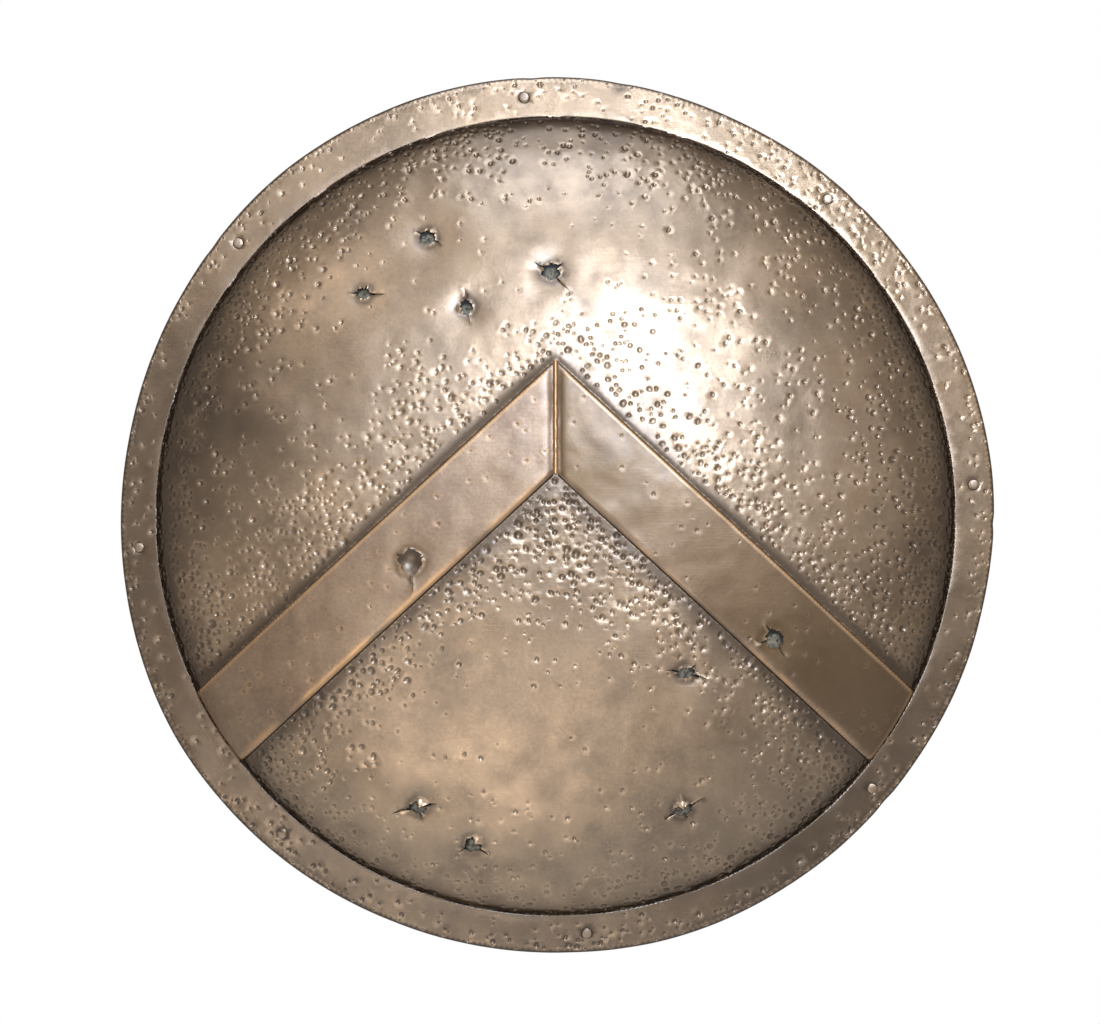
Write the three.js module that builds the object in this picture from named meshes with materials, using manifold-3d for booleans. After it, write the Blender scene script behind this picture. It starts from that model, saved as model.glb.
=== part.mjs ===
// A hoplite aspis: a round bronze-faced wooden shield with a raised chevron, carried on the forearm.
// Millimetres. +X is to the right of someone facing the shield, +Y points back to its bearer, +Z is up.
// The origin is the middle of the forearm's opening in the armband, on the shield's own axis.
import * as THREE from "three";
import { mergeVertices } from "three/addons/utils/BufferGeometryUtils.js";
import Module from "manifold-3d";

const wasm = await Module();
wasm.setup();

// Shield body
const shieldDiameter = 900;
const rimWidth = 41;
const rimEdgeHeight = 11;
const rimSlopeHeight = 5;
const rimRounding = 2.7;
const domeRise = 88;
const domeExponent = 2.3;
const sheet = 0.8;
const coreThickness = 8;
const liningThickness = 2;
const seatGap = 0.3;
const plankCount = 6;
const hemWidth = 24;
const flangeMargin = 11;

// Chevron
const armSlope = THREE.MathUtils.degToRad(42.6);
const armWidth = 85;
const apexHeight = 158;
const armRise = 4.5;
const armBevel = 3;
const armEndMargin = 3;
const seamWidth = 4;
const seamProud = 1;

// Rim rivets
const rimRivetCount = 8;
const rimRivetTurn = THREE.MathUtils.degToRad(-4.3);
const rimRivetInset = 19;
const rivetHeadRadius = 4.2;
const rivetHeadHeight = 1;
const rivetShankRadius = 2.2;
const rivetTailRadius = 3.8;
const rivetTailHeight = 0.9;
const holeClearance = 0.3;

// Armband
const openingDepth = 82;
const openingHalfWidth = 55;
const armbandLength = 104;
const armbandSheet = 1.4;
const sleeveThickness = 3;
const sleeveMargin = 4;
const lipLength = 7;
const lipProud = 2.2;
const footWidth = 34;
const bandWidth = 60;
const bandEndInset = 47;
const bandGap = 1;

// Nails that hold the armband and the bands to the core
const nailHeadRadius = 5;
const nailHeadHeight = 2.4;
const nailShankRadius = 1.7;
const nailDepth = 6;
const armbandNailInset = 14;
const bandNailInset = 10;
const bandNailShares = [0.3, 0.93];

// Ring fittings
const eyeHoleRadius = 4.5;
const eyeWireRadius = 2;
const eyeStandOff = 16.5;
const stapleShankRadius = 2.4;
const washerRadius = 16;
const washerThickness = 2;
const washerCrown = 1.4;
const ringHoleRadius = 15;
const ringWireRadius = 2.5;
const cordRingInset = 64;
const cordRingAngles = [0, 45, 135, 225, 315];

// Hand grip
const gripInset = 84;
const gripHalfSpan = 95;
const gripRingTilt = THREE.MathUtils.degToRad(30);
const strapThickness = 4.5;
const strapWidth = 25;
const strapNeckWidth = 14;
const strapBow = 11;
const strapHoleRadius = 4.3;

// Fineness, and how far a cut or a blank runs past what it shapes
const turns = 44;
const domeSteps = 8;
const holeSides = 8;
const wireSides = 6;
const eyeSteps = 10;
const ringSteps = 16;
const archSteps = 6;
const strapSteps = 8;
const overrun = 20;

// Places worked out from the sizes, as heights in front of the rim's back face
const shieldRadius = shieldDiameter / 2;
const bowlRadius = shieldRadius - rimWidth;
const rimInnerHeight = rimEdgeHeight + rimSlopeHeight;
const domeBase = rimInnerHeight - sheet - seatGap;
const coreInset = sheet + seatGap;
const bowlInset = coreInset + coreThickness;
const liningInset = bowlInset + seatGap;
const hollowInset = liningInset + liningThickness + seatGap;
const hemHeight = sheet;
const coreBack = sheet + seatGap;
const liningFace = domeBase + domeRise - liningInset - liningThickness;
const forearmHeight = liningFace - openingDepth / 2;
const rimRivetRadius = shieldRadius - rimRivetInset;
const bandEnd = bowlRadius - bandEndInset;
const armbandNailX = armbandLength / 2 - armbandNailInset;
const bandNailX = bandWidth / 2 - bandNailInset;
const cordRingRadius = bowlRadius - cordRingInset;
const gripX = gripInset - bowlRadius;
const ringRadius = ringHoleRadius + ringWireRadius;
const eyeRadius = eyeHoleRadius + eyeWireRadius;
const ringDrop = eyeHoleRadius - ringWireRadius - seatGap;

// The part's y of a height in front of the rim's back face
const depth = (height) => forearmHeight - height;

// Planes clear of the whole shield, in front of it and behind it
const front = depth(domeBase + domeRise) - overrun;
const back = depth(0) + overrun;

const colours = {
  bronze: "#a08a6e",
  chevron: "#8f7a5e",
  wood: "#a67f52",
  leather: "#6a4327",
  fittings: "#9c7c4c",
};

function finish(colour, roughness, metalness) {
  return new THREE.MeshStandardMaterial({ color: colour, roughness, metalness });
}

const bronze = finish(colours.bronze, 0.42, 1);
const chevronBronze = finish(colours.chevron, 0.46, 1);
const fittingBronze = finish(colours.fittings, 0.38, 1);
const wood = finish(colours.wood, 0.7, 0);
const leather = finish(colours.leather, 0.75, 0);

const shield = new THREE.Group();

// A closed geometry as a solid, moved by a matrix if one is given
function solid(geometry, matrix) {
  const plain = geometry.index ? geometry.toNonIndexed() : geometry.clone();
  const bare = new THREE.BufferGeometry();
  bare.setAttribute("position", plain.getAttribute("position"));
  if (matrix) bare.applyMatrix4(matrix);
  const merged = mergeVertices(bare, 1e-3);
  return new wasm.Manifold(
    new wasm.Mesh({
      numProp: 3,
      vertProperties: merged.attributes.position.array,
      triVerts: new Uint32Array(merged.index.array),
    }),
  );
}

function geometryOf(manifold) {
  const mesh = manifold.getMesh();
  const corners = new Float32Array(mesh.numVert * 3);
  for (let i = 0; i < mesh.numVert; i++) {
    corners.set(mesh.vertProperties.subarray(i * mesh.numProp, i * mesh.numProp + 3), i * 3);
  }
  const geometry = new THREE.BufferGeometry();
  geometry.setAttribute("position", new THREE.BufferAttribute(corners, 3));
  geometry.setIndex(new THREE.BufferAttribute(mesh.triVerts, 1));
  geometry.computeVertexNormals();
  return geometry;
}

function add(name, manifold, material) {
  const mesh = new THREE.Mesh(geometryOf(manifold), material);
  mesh.name = name;
  shield.add(mesh);
}

// A profile of [radius, height] points, turned about the shield's axis
function turned(profile) {
  const points = profile.map(([r, height]) => new THREE.Vector2(r, depth(height)));
  return solid(new THREE.LatheGeometry(points, turns));
}

// The dome's curve, sunk by an inset, from its middle to its foot: a superellipse
function domeCurve(inset) {
  const points = [];
  for (let i = 0; i <= domeSteps; i++) {
    const turn = (i / domeSteps) * (Math.PI / 2);
    const r = (bowlRadius - inset) * Math.sin(turn) ** (2 / domeExponent);
    const rise = domeRise * Math.max(0, Math.cos(turn)) ** (2 / domeExponent);
    points.push([i === 0 ? 0 : r, domeBase - inset + (i === domeSteps ? 0 : rise)]);
  }
  return points;
}

// Height of the dome's faceted curve at a radius measured to the middle of a facet's side
function curveHeight(r, inset) {
  const curve = domeCurve(inset);
  const i = Math.max(1, curve.findIndex(([radius]) => radius >= r));
  const [[r0, h0], [r1, h1]] = [curve[i - 1], curve[i]];
  return h0 + ((h1 - h0) * (r - r0)) / (r1 - r0);
}

// Height of the faceted dome at a place
function domeHeight(x, z, inset) {
  const facet = (2 * Math.PI) / turns;
  const turn = Math.atan2(x, z);
  const offMiddle = turn - (Math.floor(turn / facet) + 1 / 2) * facet;
  const r = (Math.hypot(x, z) * Math.cos(offMiddle)) / Math.cos(facet / 2);
  return curveHeight(r, inset);
}

// Everything inside the dome's curve, with its foot carried back past the rim
function domeFill(inset, back = -overrun) {
  return turned([...domeCurve(inset), [bowlRadius - inset, back], [0, back]]);
}

function box(x, y, z) {
  const [[x0, x1], [y0, y1], [z0, z1]] = [x, y, z];
  const middle = new THREE.Matrix4().makeTranslation((x0 + x1) / 2, (y0 + y1) / 2, (z0 + z1) / 2);
  return solid(new THREE.BoxGeometry(x1 - x0, y1 - y0, z1 - z0), middle);
}

// A cylinder about +Y from y0 to y1, with its middle at x, z
function post(radius, y0, y1, x = 0, z = 0, sides = holeSides) {
  const place = new THREE.Matrix4().makeTranslation(x, (y0 + y1) / 2, z);
  return solid(new THREE.CylinderGeometry(radius, radius, y1 - y0, sides), place);
}

// A flat outline in x and z, extruded along the shield's axis through its whole depth
function prism(corners) {
  const shape = new THREE.Shape(corners.map(([x, z]) => new THREE.Vector2(x, z)));
  const geometry = new THREE.ExtrudeGeometry(shape, { depth: back - front, bevelEnabled: false });
  const upright = new THREE.Matrix4().makeRotationX(Math.PI / 2);
  return solid(geometry, new THREE.Matrix4().makeTranslation(0, back, 0).multiply(upright));
}

// Where the rim's rivets stand, clockwise from the top as seen from the front
const rimRivets = [];
for (let i = 0; i < rimRivetCount; i++) {
  const turn = rimRivetTurn + (i * 2 * Math.PI) / rimRivetCount;
  rimRivets.push([rimRivetRadius * Math.sin(turn), rimRivetRadius * Math.cos(turn)]);
}

function drillRim(piece) {
  for (const [x, z] of rimRivets) {
    piece = piece.subtract(post(rivetShankRadius + holeClearance, front, back, x, z));
  }
  return piece;
}

// Height of the rim's front face at a radius, sunk by an inset
function rimFace(r, inset = 0) {
  const share = (r - bowlRadius) / rimWidth;
  return rimInnerHeight - rimSlopeHeight * share - inset;
}

// Slope of the smooth dome at a radius: how far it falls for each millimetre outward
function domeFall(r, inset) {
  const share = r / (bowlRadius - inset);
  const rest = 1 - share ** domeExponent;
  return (domeRise / (bowlRadius - inset)) * share ** (domeExponent - 1) * rest ** (1 / domeExponent - 1);
}

// A place on the lining: a frame whose X is level and whose Y leaves the lining squarely
function seat(x, z) {
  const r = Math.hypot(x, z);
  const inset = hollowInset - seatGap;
  const fall = domeFall(r, inset);
  const normal = new THREE.Vector3((-fall * x) / r, 1, (-fall * z) / r).normalize();
  const level = new THREE.Vector3(normal.y, -normal.x, 0).normalize();
  const third = new THREE.Vector3().crossVectors(level, normal);
  const frame = new THREE.Matrix4().makeBasis(level, normal, third);
  frame.setPosition(x, depth(domeHeight(x, z, inset)), z);
  return { frame, level };
}

// Where nails are driven: the armband's feet, then the bands above and below it
function nailPlaces() {
  const footMiddle = openingHalfWidth + sleeveThickness + armbandSheet + footWidth / 2;
  const bandStart = footMiddle + footWidth / 2 + bandGap;
  const places = [];
  for (const side of [1, -1]) {
    for (const x of [-armbandNailX, armbandNailX]) {
      places.push({ kind: "armband", x, z: side * footMiddle });
    }
    bandNailShares.forEach((share, i) => {
      const z = bandStart + share * (bandEnd - bandStart);
      places.push({ kind: "band", x: i % 2 ? bandNailX : -bandNailX, z: side * z });
    });
  }
  return { places, bandStart };
}

const { places: nails, bandStart } = nailPlaces();

// The staples: five for the cord rings, then the grip's two
const staples = cordRingAngles.map((degrees) => {
  const turn = THREE.MathUtils.degToRad(degrees);
  return [cordRingRadius * Math.cos(turn), cordRingRadius * Math.sin(turn)];
});
staples.push([gripX, gripHalfSpan], [gripX, -gripHalfSpan]);

// A peg square to the lining at a place, from one height above it to another
function squarePeg(x, z, radius, from, to) {
  const { frame } = seat(x, z);
  const middle = new THREE.Matrix4().makeTranslation(0, (from + to) / 2, 0);
  const peg = new THREE.CylinderGeometry(radius, radius, to - from, holeSides);
  return solid(peg, frame.clone().multiply(middle));
}

function drillBowl(piece, depthBelow) {
  for (const { x, z } of nails) {
    piece = piece.subtract(squarePeg(x, z, nailShankRadius + holeClearance, -depthBelow, overrun));
  }
  for (const [x, z] of staples) {
    piece = piece.subtract(squarePeg(x, z, stapleShankRadius + holeClearance, -depthBelow, overrun));
  }
  return piece;
}

const pegDepth = liningThickness + nailDepth;

// Bronze face: the dome and a flange that lies under the rim band
function makeFacing() {
  const outer = domeCurve(0);
  const flangeEdge = shieldRadius - flangeMargin;
  const under = coreInset + sheet;
  const profile = [
    ...outer.slice(0, -1),
    [bowlRadius, rimFace(bowlRadius, coreInset)],
    [flangeEdge, rimFace(flangeEdge, coreInset)],
    [flangeEdge, rimFace(flangeEdge, under)],
    [bowlRadius - sheet, rimFace(bowlRadius, under)],
    ...domeCurve(sheet).slice(0, -1).reverse(),
  ];
  add("bronze_face", drillRim(turned(profile)), bronze);
}

// Rim band: a flat ring with a rounded edge, hemmed over the rim's back
function makeRimBand() {
  const inner = bowlRadius + seatGap;
  const round = rimRounding;
  const hemInner = shieldRadius - hemWidth;
  const profile = [
    [inner, rimFace(inner)],
    [shieldRadius - round, rimFace(shieldRadius)],
    [shieldRadius, rimFace(shieldRadius) - round],
    [shieldRadius, round],
    [shieldRadius - round, 0],
    [hemInner, 0],
    [hemInner, hemHeight],
    [shieldRadius - round, hemHeight],
    [shieldRadius - sheet, round],
    [shieldRadius - sheet, rimFace(shieldRadius) - round],
    [shieldRadius - round, rimFace(shieldRadius, sheet)],
    [inner, rimFace(inner, sheet)],
    [inner, rimFace(inner)],
  ];
  add("rim_band", drillRim(turned(profile)), bronze);
}

// Wooden core: one turned bowl with a broad rim, sawn into the planks that it was glued from
function makeCore() {
  const round = rimRounding;
  const edge = shieldRadius - sheet - seatGap;
  const under = coreInset + sheet + seatGap;
  const outer = domeCurve(coreInset).slice(0, -1);
  const inner = domeCurve(bowlInset);
  const profile = [
    ...outer,
    [bowlRadius - coreInset, rimFace(bowlRadius, under)],
    [edge - round, rimFace(edge, under)],
    [edge, rimFace(edge, under) - round],
    [edge, coreBack + round],
    [edge - round, coreBack],
    [bowlRadius - bowlInset, coreBack],
    ...inner.reverse(),
  ];
  const core = drillBowl(drillRim(turned(profile)), pegDepth);
  const plankWidth = (2 * edge) / plankCount;
  for (let i = 0; i < plankCount; i++) {
    const top = edge - i * plankWidth - (i ? seatGap / 2 : -overrun);
    const foot = edge - (i + 1) * plankWidth + (i < plankCount - 1 ? seatGap / 2 : -overrun);
    const slab = box([-shieldRadius, shieldRadius], [front, back], [foot, top]);
    add(`core_plank_${i + 1}`, core.intersect(slab), wood);
  }
}

// Leather lining: four sewn panels glued into the bowl
function makeLining() {
  const inset = liningInset + liningThickness;
  const profile = [
    ...domeCurve(liningInset).slice(0, -1),
    [bowlRadius - liningInset, coreBack],
    [bowlRadius - inset, coreBack],
    ...domeCurve(inset).slice(0, -1).reverse(),
  ];
  const lining = drillBowl(turned(profile), pegDepth);
  const near = seatGap / 2;
  const far = shieldRadius;
  for (const [tall, zs] of [["upper", [near, far]], ["lower", [-far, -near]]]) {
    for (const [wide, xs] of [["left", [-far, -near]], ["right", [near, far]]]) {
      add(`lining_${tall}_${wide}`, lining.intersect(box(xs, [front, back], zs)), leather);
    }
  }
}

// An arm of the chevron in x and z, drawn in by a margin, from the mitre line to past the rim
function armOutline(side, margin) {
  const mitre = side * (seamWidth / 2 + seatGap + margin);
  const reach = shieldRadius;
  const fall = Math.tan(armSlope);
  const inward = margin / Math.cos(armSlope);
  const top = apexHeight - inward;
  const foot = apexHeight - armWidth / Math.cos(armSlope) + inward;
  const at = (x, start) => [x, start - Math.abs(x) * fall];
  return [at(mitre, top), at(side * reach, top), at(side * reach, foot), at(mitre, foot)];
}

// Chevron arms: pressed from sheet, open behind, bevelled along both edges
function makeChevron() {
  const trim = post(bowlRadius - armEndMargin, front, back, 0, 0, turns);
  const innerTrim = post(bowlRadius - armEndMargin - sheet, front, back, 0, 0, turns);
  const raised = domeFill(-armRise);
  const shoulder = domeFill(-(armRise - armBevel / 2));
  const under = domeFill(-seatGap);
  const hollow = domeFill(-(armRise - sheet));
  for (const [name, side] of [["left", -1], ["right", 1]]) {
    const top = prism(armOutline(side, armBevel)).intersect(raised);
    const skirt = prism(armOutline(side, 0)).intersect(shoulder);
    const inside = prism(armOutline(side, armBevel + sheet)).intersect(hollow).intersect(innerTrim);
    const arm = top.add(skirt).intersect(trim).subtract(inside).subtract(under);
    add(`chevron_${name}_arm`, arm, chevronBronze);
  }
  const mitreFoot = apexHeight - armWidth / Math.cos(armSlope);
  const strip = box([-seamWidth / 2, seamWidth / 2], [front, back], [mitreFoot, apexHeight]);
  const seam = strip.intersect(domeFill(-(armRise + seamProud))).subtract(under);
  add("chevron_seam", seam, chevronBronze);
}

// Rim rivets: a flat head in front, a shank through band, face and core, a hammered tail behind
function makeRimRivets() {
  rimRivets.forEach(([x, z], i) => {
    const faceY = depth(rimFace(rimRivetRadius) + rivetHeadRadius * (rimSlopeHeight / rimWidth) + seatGap);
    const backY = depth(0) + seatGap;
    const head = post(rivetHeadRadius, faceY - rivetHeadHeight, faceY, x, z);
    const shank = post(rivetShankRadius, faceY - rivetHeadHeight / 2, backY + rivetTailHeight / 2, x, z);
    const tail = post(rivetTailRadius, backY, backY + rivetTailHeight, x, z);
    add(`rim_rivet_${i + 1}`, head.add(shank).add(tail), bronze);
  });
}

// A frame whose shapes are drawn in z and y and extruded along x, centred
function acrossArm(shape, length) {
  const settings = { depth: length, bevelEnabled: false, curveSegments: archSteps };
  const geometry = new THREE.ExtrudeGeometry(shape, settings);
  const basis = new THREE.Matrix4().makeBasis(
    new THREE.Vector3(0, 0, 1),
    new THREE.Vector3(0, 1, 0),
    new THREE.Vector3(-1, 0, 0),
  );
  return solid(geometry, new THREE.Matrix4().makeTranslation(length / 2, 0, 0).multiply(basis));
}

// The arch's outline at a distance outside the forearm's opening: straight legs and a half-ellipse
function archShape(outside, thickness) {
  const half = openingHalfWidth + outside;
  const crown = openingDepth / 2 + outside;
  const spring = crown - half;
  const foot = -openingDepth / 2 - overrun;
  const shape = new THREE.Shape();
  shape.moveTo(-half - thickness, foot);
  shape.lineTo(half + thickness, foot);
  shape.lineTo(half + thickness, spring);
  shape.absellipse(0, spring, half + thickness, half + thickness, 0, Math.PI, false, 0);
  shape.lineTo(-half - thickness, foot);
  const inside = new THREE.Path();
  inside.moveTo(-half, foot - overrun);
  inside.lineTo(half, foot - overrun);
  inside.lineTo(half, spring);
  inside.absellipse(0, spring, half, half, 0, Math.PI, false, 0);
  inside.lineTo(-half, foot - overrun);
  return { outer: shape, inner: new THREE.Shape(inside.getPoints(archSteps)) };
}

function arch(outside, thickness, length) {
  const { outer, inner } = archShape(outside, thickness);
  return acrossArm(outer, length).subtract(acrossArm(inner, length + overrun));
}

const hollowFill = domeFill(hollowInset);

// Armband: a bronze arch with lipped ends and two feet, nailed through the lining into the core
function makeArmband() {
  const outside = sleeveThickness + seatGap;
  let band = arch(outside, armbandSheet, armbandLength);
  const lip = arch(outside, armbandSheet + lipProud, lipLength);
  const lipPlace = (armbandLength - lipLength) / 2;
  band = band.add(lip.translate([lipPlace, 0, 0])).add(lip.translate([-lipPlace, 0, 0]));
  const legOuter = openingHalfWidth + outside + armbandSheet;
  const legInner = openingHalfWidth + outside;
  const footTop = depth(domeHeight(0, legOuter + footWidth, hollowInset)) + armbandSheet;
  for (const side of [1, -1]) {
    const z = [side * (legInner + sheet), side * (legOuter + footWidth - seatGap)].sort((a, b) => a - b);
    band = band.add(box([-armbandLength / 2, armbandLength / 2], [front, footTop], z));
  }
  band = band.intersect(hollowFill);
  for (const { kind, x, z } of nails) {
    if (kind === "armband") {
      band = band.subtract(squarePeg(x, z, nailShankRadius + holeClearance, -overrun, overrun / 2));
    }
  }
  add("armband", band, fittingBronze);
  const sleeve = arch(0, sleeveThickness, armbandLength - 2 * sleeveMargin).intersect(hollowFill);
  add("armband_sleeve", sleeve, leather);
}

// Bands: long strips hammered to the bowl, from the armband's feet to near the rim
function makeBands() {
  const skin = hollowFill.subtract(domeFill(hollowInset + sheet, -2 * overrun));
  for (const [name, side] of [["upper", 1], ["lower", -1]]) {
    const z = [side * bandStart, side * bandEnd].sort((a, b) => a - b);
    let band = skin.intersect(box([-bandWidth / 2, bandWidth / 2], [front, back], z));
    for (const nail of nails) {
      if (nail.kind === "band" && Math.sign(nail.z) === side) {
        band = band.subtract(squarePeg(nail.x, nail.z, nailShankRadius + holeClearance, -overrun, overrun));
      }
    }
    add(`${name}_band`, band, fittingBronze);
  }
}

// Nails with domed heads, square to the lining
function makeNails() {
  const counts = {};
  for (const { kind, x, z } of nails) {
    const stand = kind === "armband" ? armbandSheet + seatGap + domeBow(x, z) : sheet + 2 * seatGap;
    const { frame } = seat(x, z);
    const crown = nailHeadHeight + stand;
    const profile = [
      [0, -pegDepth + seatGap],
      [nailShankRadius, -pegDepth + seatGap],
      [nailShankRadius, stand + seatGap],
      [nailHeadRadius, stand + seatGap],
      [nailHeadRadius * Math.SQRT1_2, stand + seatGap + nailHeadHeight * Math.SQRT1_2],
      [0, crown + seatGap],
    ].map(([r, height]) => new THREE.Vector2(r, height));
    counts[kind] = (counts[kind] ?? 0) + 1;
    const nail = solid(new THREE.LatheGeometry(profile, holeSides), frame);
    add(`${kind}_nail_${counts[kind]}`, nail, fittingBronze);
  }
}

// How far a foot's flat face stands off the curved lining at a place
function domeBow(x, z) {
  const edge = openingHalfWidth + sleeveThickness + seatGap + armbandSheet + footWidth;
  return domeHeight(x, z, hollowInset) - domeHeight(0, edge, hollowInset);
}

// A washer, a staple with an eye, and a ring, at one place on the lining
function makeFitting(label, x, z, ringFrame) {
  const { frame } = seat(x, z);
  const washerHole = stapleShankRadius + holeClearance;
  const washerProfile = [
    [washerHole, -overrun],
    [washerRadius, -overrun],
    [washerRadius, seatGap + washerThickness - washerCrown / 2],
    [washerHole, seatGap + washerThickness + washerCrown / 2],
    [washerHole, -overrun],
  ].map(([r, height]) => new THREE.Vector2(r, height));
  const washer = solid(new THREE.LatheGeometry(washerProfile, holeSides), frame).intersect(hollowFill);
  add(`${label}_washer`, washer, fittingBronze);
  const shankTop = eyeStandOff - eyeHoleRadius - eyeWireRadius;
  const shank = squarePeg(x, z, stapleShankRadius, -pegDepth + seatGap, shankTop);
  const turn = new THREE.Matrix4().makeRotationY(Math.PI / 2);
  const up = new THREE.Matrix4().makeTranslation(0, eyeStandOff, 0);
  const eye = new THREE.TorusGeometry(eyeRadius, eyeWireRadius, wireSides, eyeSteps);
  add(`${label}_staple`, shank.add(solid(eye, frame.clone().multiply(up).multiply(turn))), fittingBronze);
  const ring = new THREE.TorusGeometry(ringRadius, ringWireRadius, wireSides, ringSteps);
  add(`${label}_ring`, solid(ring, ringFrame), fittingBronze);
}

// The frame of a ring that goes from its staple's eye along a direction: its hinge is the eye's level axis
function ringPlace(x, z, along) {
  const { frame, level } = seat(x, z);
  const eye = new THREE.Vector3(0, eyeStandOff, 0).applyMatrix4(frame);
  const middle = eye.addScaledVector(along, ringDrop + ringRadius);
  const facing = new THREE.Vector3().crossVectors(level, along);
  return new THREE.Matrix4().makeBasis(level, along, facing).setPosition(middle);
}

function makeCordRings() {
  const down = new THREE.Vector3(0, 0, -1);
  cordRingAngles.forEach((_, i) => {
    const [x, z] = staples[i];
    makeFitting(`cord_${i + 1}`, x, z, ringPlace(x, z, down));
  });
}

// Hand grip: two rings that lean out from their staples toward each other
function makeGripRings(out) {
  for (const [label, side] of [["grip_upper", 1], ["grip_lower", -1]]) {
    const z = side * gripHalfSpan;
    makeFitting(label, gripX, z, gripRingPlace(side, out));
  }
}

function gripRingPlace(side, out) {
  const inward = new THREE.Vector3(0, 0, -side * Math.cos(gripRingTilt));
  return ringPlace(gripX, side * gripHalfSpan, inward.addScaledVector(out, Math.sin(gripRingTilt)));
}

// Leather strap, bowed out from the bowl, with a narrow loop at each end round a ring's far side
function makeGripStrap(level, out) {
  const far = new THREE.Vector3(0, ringRadius, 0).applyMatrix4(gripRingPlace(1, out));
  const place = new THREE.Matrix4().makeBasis(new THREE.Vector3(0, 0, 1), out, level.clone().negate());
  place.setPosition(far.x, far.y, 0);
  const slack = strapHoleRadius - ringWireRadius - seatGap;
  const end = far.z + slack * Math.cos(gripRingTilt);
  const endOut = -slack * Math.sin(gripRingTilt);
  const wrap = strapHoleRadius + strapThickness;
  const neckReach = 2 * wrap;
  const extrude = (shape, width) => {
    const settings = { depth: width, bevelEnabled: false, curveSegments: strapSteps };
    const middle = new THREE.Matrix4().makeTranslation(0, 0, -width / 2);
    return solid(new THREE.ExtrudeGeometry(shape, settings), place.clone().multiply(middle));
  };
  const bowed = (rise) =>
    new THREE.QuadraticBezierCurve(
      new THREE.Vector2(-end, rise),
      new THREE.Vector2(0, rise + 2 * strapBow),
      new THREE.Vector2(end, rise),
    ).getPoints(strapSteps);
  const disc = (z, radius, width) => {
    const shape = new THREE.Shape();
    shape.absarc(z, endOut, radius, 0, 2 * Math.PI, false);
    return extrude(shape, width);
  };
  const outerFace = bowed(endOut + wrap);
  const innerFace = bowed(endOut + strapHoleRadius).reverse();
  let strap = extrude(new THREE.Shape([...outerFace, ...innerFace]), strapWidth);
  for (const z of [end, -end]) {
    const neck = disc(z, neckReach + overrun, strapNeckWidth);
    strap = strap.subtract(disc(z, neckReach, strapWidth + overrun).subtract(neck));
    strap = strap.add(disc(z, wrap, strapNeckWidth));
    strap = strap.subtract(disc(z, strapHoleRadius, strapWidth + overrun));
  }
  add("grip_strap", strap, leather);
}

function makeGrip() {
  const { level } = seat(gripX, gripHalfSpan);
  const out = new THREE.Vector3(-level.y, level.x, 0);
  makeGripRings(out);
  makeGripStrap(level, out);
}

makeFacing();
makeRimBand();
makeCore();
makeLining();
makeChevron();
makeRimRivets();
makeArmband();
makeBands();
makeNails();
makeCordRings();
makeGrip();

export default shield;
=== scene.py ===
"""A hoplite aspis: a dented, punctured bronze face with a raised chevron, over a wooden bowl that is
carried on the forearm. Metres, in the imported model's frame: +X right seen from the front, +Y back
toward the bearer, +Z up. A height is measured forward from the back of the rim."""

import math

import bmesh
import bpy
import numpy as np
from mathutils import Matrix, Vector, kdtree, noise
from mathutils.geometry import delaunay_2d_cdt


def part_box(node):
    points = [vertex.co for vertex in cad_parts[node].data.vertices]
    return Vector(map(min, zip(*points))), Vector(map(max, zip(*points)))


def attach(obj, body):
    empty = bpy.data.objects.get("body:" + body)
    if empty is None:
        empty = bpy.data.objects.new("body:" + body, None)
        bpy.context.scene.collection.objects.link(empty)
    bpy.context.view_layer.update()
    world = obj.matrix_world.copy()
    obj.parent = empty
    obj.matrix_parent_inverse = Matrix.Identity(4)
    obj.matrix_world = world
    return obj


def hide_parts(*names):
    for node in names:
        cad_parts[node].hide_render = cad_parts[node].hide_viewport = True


bl_info = {
    "name": "Hoplite aspis",
    "version": (1, 0, 0),
    "blender": (4, 5, 0),
    "location": "View3D > Sidebar > Aspis",
    "description": "Builds a bronze-faced round shield over its packed frame",
    "category": "Add Mesh",
}

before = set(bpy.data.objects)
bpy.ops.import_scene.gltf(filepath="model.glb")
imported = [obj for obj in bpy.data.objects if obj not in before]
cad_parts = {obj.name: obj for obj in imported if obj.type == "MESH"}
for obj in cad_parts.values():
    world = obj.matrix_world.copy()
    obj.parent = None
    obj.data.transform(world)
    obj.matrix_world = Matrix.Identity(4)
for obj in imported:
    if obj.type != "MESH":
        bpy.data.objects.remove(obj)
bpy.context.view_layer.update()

mm = 0.001

# The bowl's sizes, the same as in the part's source
RIM_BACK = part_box("rim_band")[1].y
SHIELD_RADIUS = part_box("rim_band")[1].x
BOWL_RADIUS = 409 * mm
DOME_RISE = 88 * mm
DOME_EXPONENT = 2.3
DOME_BASE = 14.9 * mm
RIM_EDGE_HEIGHT = 11 * mm
RIM_INNER_HEIGHT = 16 * mm
RIM_ROUNDING = 2.7 * mm
SHEET = 0.8 * mm
HEM_RADIUS = 426 * mm
FLANGE_RADIUS = 439 * mm
CORE_INSET = 1.1 * mm
BOWL_INSET = 9.1 * mm
LINING_INSET = 9.4 * mm
LINING_FACE_INSET = 11.4 * mm
SEAT_GAP = 0.3 * mm

# The photograph: its size in pixels, the shield's middle in it, and a pixel's size at the rim
PHOTO_SIZE = (1100, 1024)
PHOTO_MIDDLE = (555.5, 516)
PIXEL = 1.0274 * mm
CAMERA_DISTANCE = 4.0

# The chevron, as in the part's source
ARM_SLOPE = math.radians(42.6)
ARM_WIDTH = 85 * mm
APEX_HEIGHT = 158 * mm
ARM_RISE = 4.5 * mm
ARM_END_RADIUS = 406 * mm
SEAM_WIDTH = 4 * mm


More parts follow.
